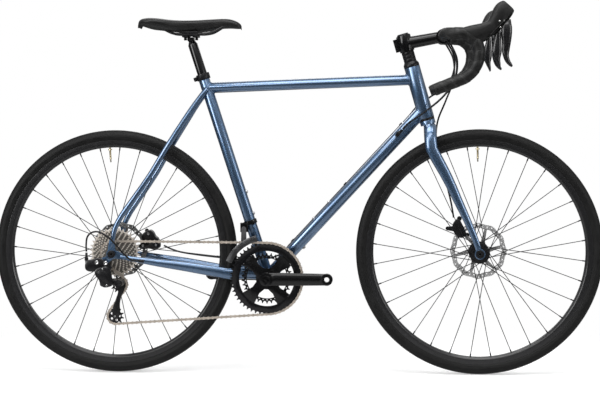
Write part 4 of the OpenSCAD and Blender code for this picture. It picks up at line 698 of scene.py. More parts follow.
def ring_tree(name):
    """Copies of a shape turned about the axle line through a centre."""
    tree = bpy.data.node_groups.new(name, "GeometryNodeTree")
    for label, kind in (("Geometry", "Geometry"), ("Shape", "Object"), ("Count", "Int"),
                        ("First turn", "Float"), ("Centre", "Vector"), ("Finish", "Material")):
        tree.interface.new_socket(label, in_out="INPUT", socket_type="NodeSocket" + kind)
    tree.interface.new_socket("Geometry", in_out="OUTPUT", socket_type="NodeSocketGeometry")

    def add(kind, sockets=None, operation=None):
        """A node, its operation, and the values or links of its sockets; gives its outputs."""
        made = tree.nodes.new(kind)
        if operation:
            made.operation = operation
        for socket, value in (sockets or {}).items():
            if isinstance(value, bpy.types.NodeSocket):
                tree.links.new(value, made.inputs[socket])
            else:
                made.inputs[socket].default_value = value
        return made.outputs

    given = add("NodeGroupInput")
    spots = add("GeometryNodeMeshLine", {
        "Count": given["Count"], "Start Location": given["Centre"], "Offset": (0, 0, 0)})
    number = add("GeometryNodeInputIndex")
    step = add("ShaderNodeMath", {0: math.tau, 1: given["Count"]}, "DIVIDE")
    turn = add("ShaderNodeMath", {0: number[0], 1: step[0], 2: given["First turn"]}, "MULTIPLY_ADD")
    euler = add("ShaderNodeCombineXYZ", {"Y": turn[0]})
    shape = add("GeometryNodeObjectInfo", {"Object": given["Shape"]})
    copies = add("GeometryNodeInstanceOnPoints", {
        "Points": spots["Mesh"], "Instance": shape["Geometry"], "Rotation": euler[0]})
    real = add("GeometryNodeRealizeInstances", {0: copies[0]})
    finish = add("GeometryNodeSetMaterial", {"Geometry": real[0], "Material": given["Finish"]})
    add("NodeGroupOutput", {0: finish[0]})
    return tree


rings_of_copies = ring_tree("copies_round_the_axle")


def grow(name, tree, values):
    """Runs a Geometry Nodes tree with named inputs and keeps what it makes as a plain mesh."""
    holder = placed(name + "_holder", bpy.data.meshes.new(name + "_start"))
    modifier = holder.modifiers.new("grow", "NODES")
    modifier.node_group = tree
    for socket in tree.interface.items_tree:
        if socket.in_out == "INPUT" and socket.name in values:
            modifier[socket.identifier] = values[socket.name]
    return kept_mesh(holder, name)


def copies_round(name, shape, count, centre, finish, first_turn=0.0):
    """Takes a shape made about the origin and sets even copies of it round an axle line."""
    made = grow(name, rings_of_copies, {"Shape": shape, "Count": count, "First turn": first_turn,
                                        "Centre": centre, "Finish": finish})
    bpy.data.objects.remove(shape)
    return made


rubber = tyre_rubber()
for end in ("front", "rear"):
    hub_at = joint_at(end + "_wheel_spin")
    casing = spun(end + "_casing", tyre_outline(), hub_at, rubber)
    blocks = []
    for row, (across, first) in enumerate(block_rows):
        block = mesh_of("block", *shoulder_block(across), rubber, False, True)
        blocks.append(copies_round(f"{end}_blocks_{row}", block, block_count, hub_at, rubber,
                                   first * math.tau / block_count))
    stands_for(joined(end + "_tyre_tread", [casing, *blocks]), end + "_tyre", "tyre")

# ---- Rims and valves ----
# Anodised aluminium hoops with hooked edges for the tyre beads. Each has one brass valve,
# locked by a round nut between two spokes.
rim_half, rim_edge, rim_floor, spoke_bed, rim_wall = 0.0125, 0.3173, 0.311, 0.297, 0.0016
wheel_leans = {"front": -1.0, "rear": -3.0}  # degrees from the top to the valve
valve_foot = 0.042  # inside the spoke bed


def rounded_outline(corners, steps=4):
    """A closed outline whose corners, each (radius, side, fillet), are rounded off."""
    outline = []
    for i, (r, y, fillet) in enumerate(corners):
        here = Vector((r, y))
        before, after = Vector(corners[i - 1][:2]), Vector(corners[(i + 1) % len(corners)][:2])
        start = here + (before - here).normalized() * fillet
        end = here + (after - here).normalized() * fillet
        for k in range(steps + 1):
            t = k / steps
            outline.append(tuple((1 - t) ** 2 * start + 2 * t * (1 - t) * here + t * t * end))
    return outline


def rim_outline():
    """A box section with sloped shoulders, open toward the tyre between two hooked walls."""
    w, t = rim_half, rim_wall
    side = [(rim_edge, w, 0.0006), (spoke_bed + 0.006, w, 0.002), (spoke_bed, w - 0.005, 0.002)]
    other = [(r, -y, fillet) for r, y, fillet in side[::-1]]
    well = [(rim_edge, t - w), (rim_floor, t - w), (rim_floor, w - t), (rim_edge, w - t)]
    return rounded_outline(side + other + [(r, y, 0.0006) for r, y in well])


def turned(name, profile, foot, along, finish, sides=24):
    """A lathe-turned piece on a line from foot: rows of (how far along, radius)."""
    along = along.normalized()
    side = along.orthogonal().normalized()
    up = along.cross(side)
    points = [foot + along * far + radius * (math.cos(math.tau * k / sides) * side
                                             + math.sin(math.tau * k / sides) * up)
              for far, radius in profile for k in range(sides)]
    made = mesh_of(name, points, rings_to_faces(len(profile), sides), finish, recalculate=True)
    made.data.set_sharp_from_angle(angle=math.radians(40))
    return made


def valve_profile():
    """The core's tip, thirty turns of thread, the round nut and the stem under it."""
    rows = [(0, 0.0011), (0.0006, 0.0018), (0.0075, 0.0018), (0.008, 0.0022), (0.009, 0.0029)]
    thread_turns, thread_pitch = 30, 0.0008
    for n in range(thread_turns):
        rows += [(0.0095 + thread_pitch * n, 0.0029), (0.0099 + thread_pitch * n, 0.0026)]
    return rows + [(0.0339, 0.0029), (0.0341, 0.0054), (0.0375, 0.0055), (0.0379, 0.0052), (0.038, 0.0029),
                   (0.060, 0.0029)]


def turned_out(degrees):
    """The direction from an axle toward a place round its wheel, counted from the top."""
    a = math.radians(degrees)
    return Vector((math.sin(a), 0, math.cos(a)))


anodised = black_metal("anodised_rim", (0.009, 0.009, 0.010), 0.3, 0.35, specular=0.5)
brass = steel("valve_brass", (0.66, 0.58, 0.40), 0.24)
for end, lean in wheel_leans.items():
    hub_at = joint_at(end + "_wheel_spin")
    out = turned_out(lean)
    stands_for(spun(end + "_hoop", rim_outline(), hub_at, anodised), end + "_rim", "rim")
    valve = turned(end + "_valve", valve_profile(), hub_at + out * (spoke_bed - valve_foot), out, brass)
    stands_for(valve, end + "_rim", "steel")

# ---- Spokes ----
# Thirty-two black steel spokes a wheel, laced so that each crosses three others. An elbow and a flat head
# hold each in its flange, and a brass nipple under black plating pulls it through the rim.
spoke_count, spoke_radius, seat_radius, crossing = 32, 0.0011, 0.025, 56.25
spokes_in_pattern, spoke_sides = 4, 8
flange_sides = {"front": (-0.033, 0.021), "rear": (-0.019, 0.033)}


def laced_spoke(number, flanges, lean):
    """The spoke's line from its head to the rim, for a wheel about the origin."""
    side = -1 if number % 2 == 0 else 1
    lead = -1 if (number // 2) % 2 == 0 else 1
    at_rim = lean + (number + 0.5) * 360 / spoke_count
    flange = flanges[0] if side < 0 else flanges[1]
    hole = turned_out(at_rim + lead * crossing) * seat_radius + Vector((0, flange, 0))
    rim_end = turned_out(at_rim) * spoke_bed + Vector((0, side * 0.002, 0))

    def beside(far):
        """A point that far out of the flange on the spoke's own side of it."""
        return hole + Vector((0, lead * far, 0))

    elbow = beside(0.0024)
    away = (rim_end - elbow).normalized()
    return [beside(-0.0026), beside(-0.0019), beside(0.0008), beside(0.0017) + away * 0.0006,
            elbow + away * 0.0022, elbow + away * 0.006, rim_end - away * 0.008, rim_end + away * 0.002]


def spoke_thickness(travelled, turn):
    """The head, and then the wire."""
    return 0.0017 if travelled < 0.0005 else spoke_radius


def nipple_thickness(travelled, turn):
    """A shoulder that swells from the spoke."""
    return 0.0013 + 0.0006 * smooth_step(travelled, 0.0, 0.0012)


spoke_black = black_metal("spoke_black", (0.004, 0.004, 0.005), 0.3, 0.0, specular=0.3)
for end, lean in wheel_leans.items():
    hub_at = joint_at(end + "_wheel_spin")
    laced = []
    for number in range(spokes_in_pattern):
        run = laced_spoke(number, flange_sides[end], lean)
        nipple = [run[-1].lerp(run[-2], t) for t in (0, 0.2, 0.4, 0.8, 1.0, 1.1, 1.15)][::-1]
        wire = swept(run, spoke_thickness, spoke_sides, Vector((1, 0, 0)))
        sleeve = swept(nipple, nipple_thickness, spoke_sides)
        pieces = [mesh_of("wire", wire, rings_to_faces(len(run), spoke_sides), spoke_black),
                  mesh_of("nipple", sleeve, rings_to_faces(len(nipple), spoke_sides), spoke_black)]
        laced.append(copies_round(f"{end}_spokes_{number}", joined("spoke", pieces),
                                  spoke_count // spokes_in_pattern, hub_at, spoke_black))
    stands_for(joined(end + "_lacing", laced), end + "_spokes", "spoke")

# ---- Hubs and brake rotors ----
# Turned aluminium hub shells with two flanges. The stainless rotor is laser-cut, and its braking band is
# ground round and round; a black splined carrier locks it to the hub.
carrier_radius, band_inner, band_outer = 0.0262, 0.0655, 0.0795
# How bright each rotor's metal is painted. The rear one is painted far darker, a painted shade for the shadow it
# stands in.
rotor_metal_with_painted_shade = {"front": 0.6, "rear": 0.18}


def about_axle(f, centre):
    """How far a point is from an axle line, and where it is along that line."""
    x, y, z = f.parts(f.place())
    across, up = x - centre.x, z - centre.z
    return (across * across + up * up).maths("SQRT"), y


def rotor_steel(name, centre, light):
    """Ground in rings, rubbed bright where the pads run, with a black carrier inside. light is how bright the metal is
    painted; on the rear rotor it is low, a painted shade.
    """
    f = Finish(name)
    radius, _ = about_axle(f, centre)
    grind = f.node("ShaderNodeTexNoise", {"noise_dimensions": "1D"}, {
        "W": radius, "Scale": 2400, "Detail": 3})
    carrier = radius.ramp(carrier_radius, carrier_radius + 0.0004, 1.0, 0.0)
    rubbed = radius.ramp(band_inner, band_inner + 0.001).both(radius.ramp(band_outer, band_outer - 0.001))
    metal = f.blend(rubbed, (0.7 * light,) * 3, (light,) * 3)
    tone = f.blend(carrier, metal, (0.010, 0.010, 0.011))
    return f.surface(tone, grind.ramp(0.3, 0.7, 0.3, 0.46), (1 - carrier) * 0.7, f.relief(grind, 0.00003))


for end, light in rotor_metal_with_painted_shade.items():
    softened(end + "_hub", satin_black, 0.0006)
    ground = rotor_steel(end + "_rotor_steel", joint_at(end + "_wheel_spin"), light)
    softened(end + "_rotor", ground, 0.0002)

# ---- Bar tape ----
# One cushioned strip on each half of the bar, wound edge over edge from the drop's end up to the stem's
# side, and held by a plug at the drop.
bar_half = 0.215
bar_centre = Vector((0.41388, 0, 0.95045))
top_bend, hook_bend, drop_bend = 0.038, 0.048, 0.075
drop_tilt = math.radians(21)
drop_length = 0.075
tape_start, tape_step, tape_sides = 0.074, 0.0014, 40
tape_radius = 0.0167
wrap_pitch = 0.028
hook_at = bar_centre + Vector((0.040, 0, -hook_bend))
drop_at = hook_at + Vector((hook_bend - drop_bend, 0, -0.005))


def arc(centre, across, up, radius, first, last, steps):
    """Points of a bend, from one angle to another."""
    made = []
    for i in range(steps + 1):
        a = first + (last - first) * i / steps
        made.append(centre + radius * (math.cos(a) * across + math.sin(a) * up))
    return made


def bar_path():
    """Centre line of the left half of the bar, from beside the stem to the end of the drop."""
    side = Vector((0, bar_half, 0))
    ahead, left, up = Vector((1, 0, 0)), Vector((0, 1, 0)), Vector((0, 0, 1))
    quarter = math.pi / 2
    flat_end = bar_centre + left * (bar_half - top_bend)
    points = [bar_centre + left * tape_start, flat_end]
    points += arc(flat_end + ahead * top_bend, -ahead, left, top_bend, 0, quarter, 16)
    points += arc(hook_at + side, up, ahead, hook_bend, 0, quarter, 20)
    points += arc(drop_at + side, ahead, -up, drop_bend, 0, quarter - drop_tilt, 24)
    down = Vector((-math.cos(drop_tilt), 0, -math.sin(drop_tilt)))
    points.append(points[-1] + down * drop_length)
    return points


def wound_radius(travelled, turn):
    """Each turn of the tape lies on the one before, with a soft rolled edge."""
    sink, lap, fall = 0.0016, 0.0014, 0.6
    share = (travelled / wrap_pitch + turn / math.tau) % 1.0
    edge = smooth_step(share, 0.0, 0.05)
    return tape_radius - sink + lap * edge * (1 - fall * share)


def tape_cover():
    """Cork-filled foam: pores all over, a painted highlight along each turn's rolled edge, which is also a little
    smoother, and painted shade in the seam beside it.
    """
    f = Finish("bar_tape")
    cork = f.cells(700)
    pores = f.cells(260).ramp(0.12, 0.22)
    wear = f.noise(40, 4, 0.6).ramp(0.45, 0.7)
    turn = f.node("ShaderNodeAttribute", {"attribute_name": "wrap"}, out="Fac")
    # A painted highlight along the rolled edge of each turn; the same band is also made a little less rough.
    edge = turn.ramp(0.06, 0.16).both(turn.ramp(0.42, 0.2))
    # Painted shade in the seam where each turn meets the next.
    painted_seam_shade = turn.ramp(0.9, 0.99).either(turn.ramp(0.05, 0.0))
    tone = f.blend(wear * 0.3 + edge * 0.7, (0.005, 0.005, 0.005), (0.021, 0.021, 0.021))
    tone = f.blend(painted_seam_shade, tone, (0.001, 0.001, 0.001))
    lift = f.relief(pores, 0.00012)
    rough = wear.ramp(0, 1, 0.5, 0.6) - edge * 0.12
    return f.surface(tone, rough, 0.0, f.relief(cork, 0.00008, lift), specular=0.4)


def on_side(side, points):
    """Points made for the left side, mirrored for the right."""
    return [Vector((p.x, -p.y, p.z)) for p in points] if side == "right" else points


def skinned(name, points, sides, finish):
    """A closed skin over rings of points."""
    return mesh_of(name, points, rings_to_faces(len(points) // sides, sides), finish, recalculate=True)


tape_skin = tape_cover()
line = even_path(bar_path(), tape_step)
sleeves = []
for side in ("left", "right"):
    points = on_side(side, swept(line, wound_radius, tape_sides, Vector((1, 0, 0))))
    sleeve = skinned(side + "_wrap", points, tape_sides, tape_skin)
    share = sleeve.data.attributes.new("wrap", "FLOAT", "POINT")
    for i in range(len(points)):
        ring, around = divmod(i, tape_sides)
        share.data[i].value = (ring * tape_step / wrap_pitch + around / tape_sides) % 1.0
    sleeves.append(sleeve)
stands_for(joined("bar_tape_wraps", sleeves), "bar_tape", "tape")

# ---- Brake hoods ----
# Rubber covers stretched over the lever bodies: a broad grip behind and a tall horn at the nose. Below
# a crease the body's own glossy plastic shows, with the steel heads of the lever's two pins.
polished = steel("polished_alloy", (0.72, 0.72, 0.72), 0.16)
crease_offset = 0.0325
loft_steps, hood_sides = 5, 40
pin_offset, pin_rows = 0.0150, ((101, 78, 0.0021), (103, 62, 0.0019))  # ahead, up, radius


def catmull(rows, steps):
    """Rows of numbers with smooth rows put between them."""
    made = []
    for i in range(len(rows) - 1):
        a, b, c, d = rows[max(i - 1, 0)], rows[i], rows[i + 1], rows[min(i + 2, len(rows) - 1)]
        for n in range(steps):
            t = n / steps
            made.append([0.5 * (2 * q + (r - p) * t + (2 * p - 5 * q + 4 * r - s) * t * t
                                + (3 * q - p - 3 * r + s) * t ** 3) for p, q, r, s in zip(a, b, c, d)])
    return made + [list(rows[-1])]


def loft(rows, sides, origin):
    """Rings between an upper and a lower line. A row is upper x, upper z, lower x, lower z, half width
    and squareness, in millimetres from origin; squareness 2 is an ellipse and more is boxier."""
    points = []
    for ux, uz, lx, lz, half, square in rows:
        top, bottom = Vector((ux, 0, uz)) / 1000, Vector((lx, 0, lz)) / 1000
        middle, rise = (top + bottom) / 2, (top - bottom) / 2
        for k in range(sides):
            a = math.tau * k / sides
            c, s = math.cos(a), math.sin(a)
            c = math.copysign(abs(c) ** (2 / square), c)
            s = math.copysign(abs(s) ** (2 / square), s)
            points.append(origin + middle + rise * s + Vector((0, half / 1000 * c, 0)))
    return points


hood_rows = [
    [4, 61, 51.5, 24, 16.5, 2.2], [9, 64, 55, 26, 17.5, 2.3], [24, 68, 66, 31, 18.0, 2.4],
    [42, 71.5, 80, 38, 17.5, 2.6], [58, 75, 93, 46, 17.5, 2.7], [69, 80, 104, 56, 17.5, 2.7],
    [76, 91, 112, 64, 17.5, 2.6], [81, 103, 119, 72, 17.5, 2.5], [87, 115, 125, 81, 17.0, 2.4],
    [95, 125, 133, 92, 16, 2.3], [104, 130.5, 138, 101, 14, 2.4], [112, 132.5, 139.3, 106, 11.5, 2.4],
    [117.5, 129, 138.3, 109, 9, 2.3], [122, 125, 136, 112, 6.5, 2.2], [126.5, 121, 132.5, 115.5, 3, 2]]


def hood_rubber():
    """Matt rubber above the crease, which climbs from tail to nose, and the glossy body below it."""
    f = Finish("hood_rubber")
    x, _, z = f.parts(f.place())
    below = (x - hook_at.x) - (z - hook_at.z) - crease_offset
    body = below.ramp(0.0, 0.0008)
    crease = below.ramp(-0.0016, 0.0).both(below.ramp(0.0016, 0.0))
    rub = f.noise(45, 3).ramp(0.4, 0.7)
    tone = f.blend(rub * 0.5, (0.006, 0.006, 0.006), (0.014, 0.014, 0.014))
    tone = f.blend(body.either(crease), tone, (0.002, 0.002, 0.002))
    rough = rub.ramp(0, 1, 0.42, 0.55) - body * 0.2
    edge = f.relief(1 - crease, 0.0012)
    return f.surface(tone, rough, 0.0, f.relief(f.cells(1100), 0.00007, edge), specular=0.35)


hood_skin = hood_rubber()
hood_at = hook_at + Vector((0, bar_half, 0))
grips, pin_heads = [], []
for side in ("left", "right"):
    points = on_side(side, loft(catmull(hood_rows, loft_steps), hood_sides, hood_at))
    grips.append(skinned(side + "_grip", points, hood_sides, hood_skin))
stands_for(joined("hood_covers", grips), "brake_hoods", "hood_rubber")
for side in (-1, 1):
    for x, z, radius in pin_rows:
        foot = hook_at + Vector((x / 1000, side * (bar_half + pin_offset), z / 1000))
        head = [(0, radius), (0.0026, radius), (0.003, radius - 0.0005)]
        pin_heads.append(turned("pin_head", head, foot, Vector((0, side, 0)), polished, 20))
stands_for(joined("lever_pin_heads", pin_heads), "brake_hoods", "steel")

# ---- Levers ----
# Each brake lever is one moulded blade, hung on a pin in the hood and swept forward at its foot.
# A smaller paddle behind it changes gear.
lever_sides = 28
lever_rows = [
    [108, 80, 131, 84, 5, 2.4], [105, 70, 132.5, 74, 10, 2.6], [105, 58, 134.5, 62, 12, 2.8],
    [105.5, 44, 134.5, 47, 12, 2.8], [107, 30, 133, 32, 11, 2.7], [108, 14, 130.5, 16, 9.5, 2.5],
    [108, 0, 128, 1, 8.5, 2.4], [111, -14, 126.5, -12, 8.5, 2.3], [117, -28, 130, -25, 8.5, 2.2],
    [126, -38, 135, -34, 7.5, 2.1], [133.5, -42.5, 137, -39, 4, 2]]
paddle_rows = [
    [95, 70, 103, 72, 5.5, 2.3], [92, 58, 103.5, 60, 6, 2.3], [90, 42, 105, 44, 6.5, 2.3],
    [85, 22, 106.6, 25, 7.5, 2.3], [82, 5, 107.4, 8, 8.5, 2.3], [82.5, -6, 107.2, -5, 8.5, 2.2],
    [89, -22, 104, -20, 8, 2.2], [97, -38, 105, -35, 6.5, 2.1], [101.5, -47, 105, -44.5, 3.5, 2]]


def lever_lacquer():
    """Black lacquer, faintly hazed by hands."""
    f = Finish("lever_lacquer")
    haze = f.noise(30, 3).ramp(0.4, 0.7)
    tone = f.blend(haze * 0.4, (0.005, 0.005, 0.006), (0.012, 0.012, 0.013))
    grain = f.relief(f.noise(900, 2), 0.00002)
    return f.surface(tone, haze.ramp(0, 1, 0.22, 0.32), 0.0, grain, 0.6, 0.08)


lacquer = lever_lacquer()
for side in ("left", "right"):
    for name, rows, node in (("brake_blade", lever_rows, "brake_lever"),
                             ("shift_blade", paddle_rows, "shift_paddle")):
        points = on_side(side, loft(catmull(rows, loft_steps), lever_sides, hood_at))
        blade = skinned(f"{side}_{name}", points, lever_sides, lacquer)
        stands_for(blade, f"{side}_{node}", "black_plastic")

# ---- Saddle ----
# A padded cover stretched over a moulded shell and glued under its skirt, with a shallow channel along
# the middle. The shell holds the two steel rails.
post_head = Vector((-0.29537, 0, 0.94955))
saddle_sides, crown, channel, channel_width = 56, 12.0, 1.6, 9.0  # all but the first in millimetres
saddle_rows = [
    [-146, 40, 30, 30, 2.4], [-141, 52, 36, 46, 2.4], [-128, 57, 32, 62, 2.4], [-108, 58, 26, 70, 2.5],
    [-84, 56, 23, 68, 2.6], [-60, 53, 20, 58, 2.7], [-34, 51, 17, 44, 2.7], [-6, 51, 15, 32, 2.6],
    [24, 52, 16, 25, 2.5], [56, 54, 20, 21.5, 2.4], [88, 55, 26, 19.5, 2.4], [112, 53, 27, 18, 2.3],
    [130, 47, 26, 15, 2.2], [140, 40, 26, 10, 2.1], [143.5, 34, 28, 4, 2]]


def saddle_cover():
    """Coated cloth with a fine grain, shinier where a rider sits."""
    f = Finish("saddle_cover")
    grain = f.cells(1000)
    crease = f.noise(180, 4, 0.6)
    shine = f.noise(16, 3).ramp(0.35, 0.7)
    tone = f.blend(shine * 0.4, (0.008, 0.008, 0.008), (0.018, 0.018, 0.018))
    return f.surface(tone, shine.ramp(0, 1, 0.4, 0.52), 0.0,
                     f.relief(crease, 0.00008, f.relief(grain, 0.00005)), specular=0.35)


def saddle_shape():
    """Rings across the saddle: x, crown z, skirt z, half width and squareness, from tail to nose."""
    points = []
    for x, top, skirt, half, square in catmull(saddle_rows, loft_steps):
        hollow = channel * smooth_step(x, -120, -60) * (1 - smooth_step(x, 60, 110))
        for k in range(saddle_sides):
            a = math.tau * k / saddle_sides
            c, s = math.cos(a), math.sin(a)
            y = half * math.copysign(abs(c) ** (2 / square), c)
            if s >= 0:
                z = top - crown + crown * abs(s) ** (2 / square)
                z -= hollow * math.exp(-(y / channel_width) ** 2)
            else:
                z = top - crown - (top - crown - skirt) * abs(s) ** (2 / square)
                y *= 1 - 0.10 * s * s
            points.append(post_head + Vector((x, y, z)) / 1000)
    return points


seat_cover = skinned("saddle_padding", saddle_shape(), saddle_sides, saddle_cover())
stands_for(seat_cover, "saddle", "saddle_cover")
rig.padded(seat_cover, fill=0.85)

# ---- Cable housings ----
# Steel-wound housing in a black plastic sheath. The runs leave the tape beside the stem, pass round the
# head tube, and end in stops and guides on the frame, in a brake, or in the rear derailleur's barrel.
housing_radius, housing_sides, housing_step = 0.0025, 14, 0.004


def millimetres_from(x, z):
    """Places points given as (ahead, side, up) in millimetres from one in the middle plane."""
    return lambda ahead, side, up: Vector((x + ahead / 1000, side / 1000, z + up / 1000))


from_bar = millimetres_from(bar_centre.x, bar_centre.z)
from_axle = millimetres_from(-0.515, 0.346)
from_crank = millimetres_from(crank_axle.x, crank_axle.z)


def housing_sheath():
    """Smooth extruded plastic."""
    f = Finish("housing_sheath")
    haze = f.noise(60, 2).ramp(0.4, 0.7)
    tone = f.blend(haze * 0.4, (0.006, 0.006, 0.007), (0.013, 0.013, 0.014))
    ripple = f.relief(f.noise(500, 1), 0.00002)
    return f.surface(tone, haze.ramp(0, 1, 0.34, 0.44), 0.0, ripple, specular=0.3)


sheath = housing_sheath()


def housing(name, node, points):
    """A smooth run through its points."""
    rows = catmull([list(p) for p in points], 8)
    line = even_path([Vector(row) for row in rows], housing_step)
    made = skinned(name, swept(line, housing_radius, housing_sides), housing_sides, sheath)
    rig.slot(made, "housing")
    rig.replaces(made, node)
    return made


bar_runs = {
    "right_shift": [(16, -73, -20), (36, -62, -66), (30, -48, -122), (-2, -39, -168), (-50, -34, -208),
                    (-92, -27, -236), (-105.8, -22.5, -248.2), (-114.8, -21.7, -258.2)],
    "left_shift": [(16, 73, -20), (38, 62, -62), (34, 50, -116), (2, 41, -165), (-48, 36, -207),
                   (-92, 27, -236), (-105.8, 22.5, -248.2), (-114.8, 21.7, -258.2)],
    "rear_brake": [(8, -73, -17), (28, -60, -58), (26, -30, -104), (4, 4, -140), (-36, 29, -168),
                   (-74, 30, -196), (-92, 19, -217.2), (-114, 11.93, -241.2)]}
for name, points in bar_runs.items():
    run = housing(name + "_housing", "control_cables", [from_bar(*p) for p in points])
    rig.blend(run, "fork", "frame", from_bar(*points[2]), from_bar(*points[5]))
fork_run = housing("front_brake_housing", "control_cables", [from_bar(*p) for p in (
    (8, 73, -17), (30, 66, -62), (30, 58, -120), (8, 54, -180), (-14, 55, -236), (-18, 60, -292),
    (-5, 62, -352), (13, 63, -420), (24, 63, -466), (29, 61, -494), (32, 58, -512))])
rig.ride(fork_run, "fork")
down_run = housing("rear_brake_housing", "rear_cable_housings", [from_crank(*p) for p in (
    (380.2, 11.93, 433.8), (355.3, 11.93, 407), (220.5, 11.93, 262), (144.2, 11.93, 180),
    (70.6, 11.93, 100.9), (55.7, 11.93, 84.8), (44.8, 17, 68), (14.8, 22, 54), (-17.2, 26, 47),
    (-59.2, 28, 43), (-124.2, 35, 49), (-209.2, 50, 57), (-269.2, 62, 66), (-311.2, 72, 82))])
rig.ride(down_run, "frame")
loop_points = [(77.8, -80.5, -18.5), (57, -83, -16), (37, -87, 1), (15, -89, 27), (-7, -90, 49),
               (-31, -90, 63), (-52, -89, 62), (-66, -87, 49), (-69.8, -86, 26), (-69.1, -86, 5.6)]
loop = housing("rear_derailleur_housing", "rear_cable_housings", [from_axle(*p) for p in loop_points])
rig.blend(loop, "frame", "rd_bracket", from_axle(*loop_points[4]), from_axle(*loop_points[8]))

# ---- Seatpost and saddle rails ----
# A glossy black alloy post, held by the seat collar's bolt. Its two-bolt cradle grips the saddle's
# painted steel rails.


def dress(finish, node):
    """Gives a node of the frame its finish."""
    for place in frame["nodes"][node].material_slots:
        place.material = finish


softened("seatpost", gloss_black, 0.0006)
softened("saddle_clamp", satin_black, 0.0006)
dress(black_metal("rail_paint", (0.014, 0.014, 0.015), 0.3, 0.2), "saddle_rails")

# ---- Cranks and chainrings ----
# Forged hollow arms with a gloss lacquer, joined by a steel axle through the frame. Two anodised rings are
# bolted to the right arm's spider.
for node in ("right_crank", "left_crank"):
    softened(node, gloss_black, 0.0008)
softened("chainrings", black_metal("ring_black", (0.004, 0.004, 0.005), 0.2, 0.3), 0.0003)

# ---- Cassette and chain ----
# Stamped, nickel-plated sprockets on a hub body, and a plated roller chain with a bronze cast.
# Grease and shadow darken what each sprocket's smaller neighbour covers.
first_cog, cog_pitch, first_tips, tips_step, last_face = -0.0660, 0.00374, 0.0221, 0.00403, -0.0286


def cog_plating():
    """Warm plating at the teeth, and dark inside the reach of the next smaller cog's tips."""
    f = Finish("cog_plating")
    radius, y = about_axle(f, joint_at("cassette_spin"))
    covered = (y - first_cog) / cog_pitch * tips_step + first_tips
    shaded = (radius - covered).ramp(-0.0004, 0.0006, 1.0, 0.0).both(y < last_face)
    smear = f.noise(60, 3).ramp(0.35, 0.7)
    plate = f.blend(smear * 0.5, (0.80, 0.74, 0.67), (0.66, 0.60, 0.53))
    tone = f.blend(shaded, plate, (0.13, 0.12, 0.105))
    return f.surface(tone, smear.ramp(0, 1, 0.36, 0.5), (1 - shaded) * 0.5)


dress(cog_plating(), "cassette")
dress(steel("chain_steel", (0.66, 0.58, 0.50), 0.36, 0.5, 0.6), "chain")

# ---- Derailleurs ----
# The rear one is cast and moulded: a bracket on the hanger, a fat outer link, a knuckle with the cage's
# spring, and a curved cage with two pulleys. The front one is clamped on the seat tube and carries a
# plated steel cage.


def moulding(name, corners, near, far, edge, finish):
    """A cast or stamped piece: a smooth outline of (x, z) from the rear axle, between two sides and with
    rounded edges. All in millimetres; near and far are the two sides' places across the bicycle."""
    steps = 5
    run = catmull([list(c) for c in (corners[-1], *corners, corners[0], corners[1])], steps)
    outline = [Vector(p) for p in run[steps:steps * (len(corners) + 1)]]
    count = len(outline)
    turn = sum(outline[i - 1].cross(outline[i]) for i in range(count))
    inward = []
    for i in range(count):
        along = (outline[(i + 1) % count] - outline[i - 1]).normalized()
        inward.append(Vector((-along.y, along.x)) * math.copysign(1, turn))
    depths = [(near, 1.0), (near + 0.3 * edge, 0.3), (near + edge, 0),
              (far - edge, 0), (far - 0.3 * edge, 0.3), (far, 1.0)]
    points = []
    for y, share in depths:
        for here, way in zip(outline, inward):
            spot = here + way * share * edge
            points.append(from_axle(spot.x, y, spot.y))
    made = mesh_of(name, points, rings_to_faces(len(depths), count), finish, recalculate=True)
    made.data.set_sharp_from_angle(angle=math.radians(42))
    return made


def pin(name, x, z, outer, inner, radius, finish):
    """A turned pin or drum across the derailleur, with broken edges and a shallow socket in its head."""
    length = inner - outer
    rows = [(0.4, 0.01), (0.4, 0.42 * radius), (0, 0.5 * radius), (0, radius - 0.6), (0.6, radius),
            (length - 0.5, radius), (length, radius - 0.5)]
    profile = [(far / 1000, wide / 1000) for far, wide in rows]
    return turned(name, profile, from_axle(x, outer, z), Vector((0, 1, 0)), finish, 32)


def pulley_plastic():
    """Moulded plastic with a fine spark-eroded texture."""
    f = Finish("black_plastic")
    haze = f.noise(35, 3).ramp(0.35, 0.7)
    tone = f.blend(haze * 0.4, (0.007, 0.007, 0.008), (0.0119, 0.0119, 0.0136))
    return f.surface(tone, haze.ramp(0, 1, 0.41, 0.52), 0.0, f.relief(f.cells(900), 0.00005), specular=0.25)


cast_black = black_metal("cast_black", (0.005, 0.005, 0.006), 0.27, 0.4, specular=0.35)
bracket = [(-29, -12), (-18, -17), (-5, -28), (2, -38), (-6, -48), (-22, -50), (-40, -48), (-54, -49),
           (-66, -47), (-73, -40), (-73, -27), (-68, -17), (-56, -15), (-45, -11), (-37, -10)]
outer_link = [(-30, -36), (-15, -33), (-3, -37), (3, -50), (5, -64), (9, -76), (5, -86), (-7, -91),
              (-20, -91), (-28, -82), (-33, -70), (-41, -60), (-44, -49), (-40, -40)]
link_panel = [(-30, -44), (-17, -46), (-8, -52), (-4, -64), (-3, -75), (-10, -79), (-20, -74),
              (-27, -64), (-34, -55)]
knuckle = [(-32, -80), (-26, -72), (-12, -70), (4, -69), (18, -69), (30, -71), (35.5, -79), (33, -87),
           (25, -91), (12, -90), (0, -86), (-12, -91), (-24, -91.5), (-31, -88)]
cage_side = [(10, -73), (26, -70), (34, -77), (34.5, -92), (30, -108), (22, -124), (18, -138), (17, -152),
             (18, -166), (15, -180), (8, -185.5), (0, -185.5), (-3.2, -179), (-3, -166), (-1, -152),
             (4, -138), (10, -122), (14, -108), (8, -97), (5, -85)]
barrel_profile = [(0, 0.003), (0.004, 0.0036), (0.012, 0.0036), (0.0125, 0.0052), (0.021, 0.0052),
                  (0.022, 0.004), (0.033, 0.0034), (0.035, 0.0028)]


def castings(name, node, *pieces):
    """Several cast pieces of one node, as one piece."""
    stands_for(joined(name, pieces), node)


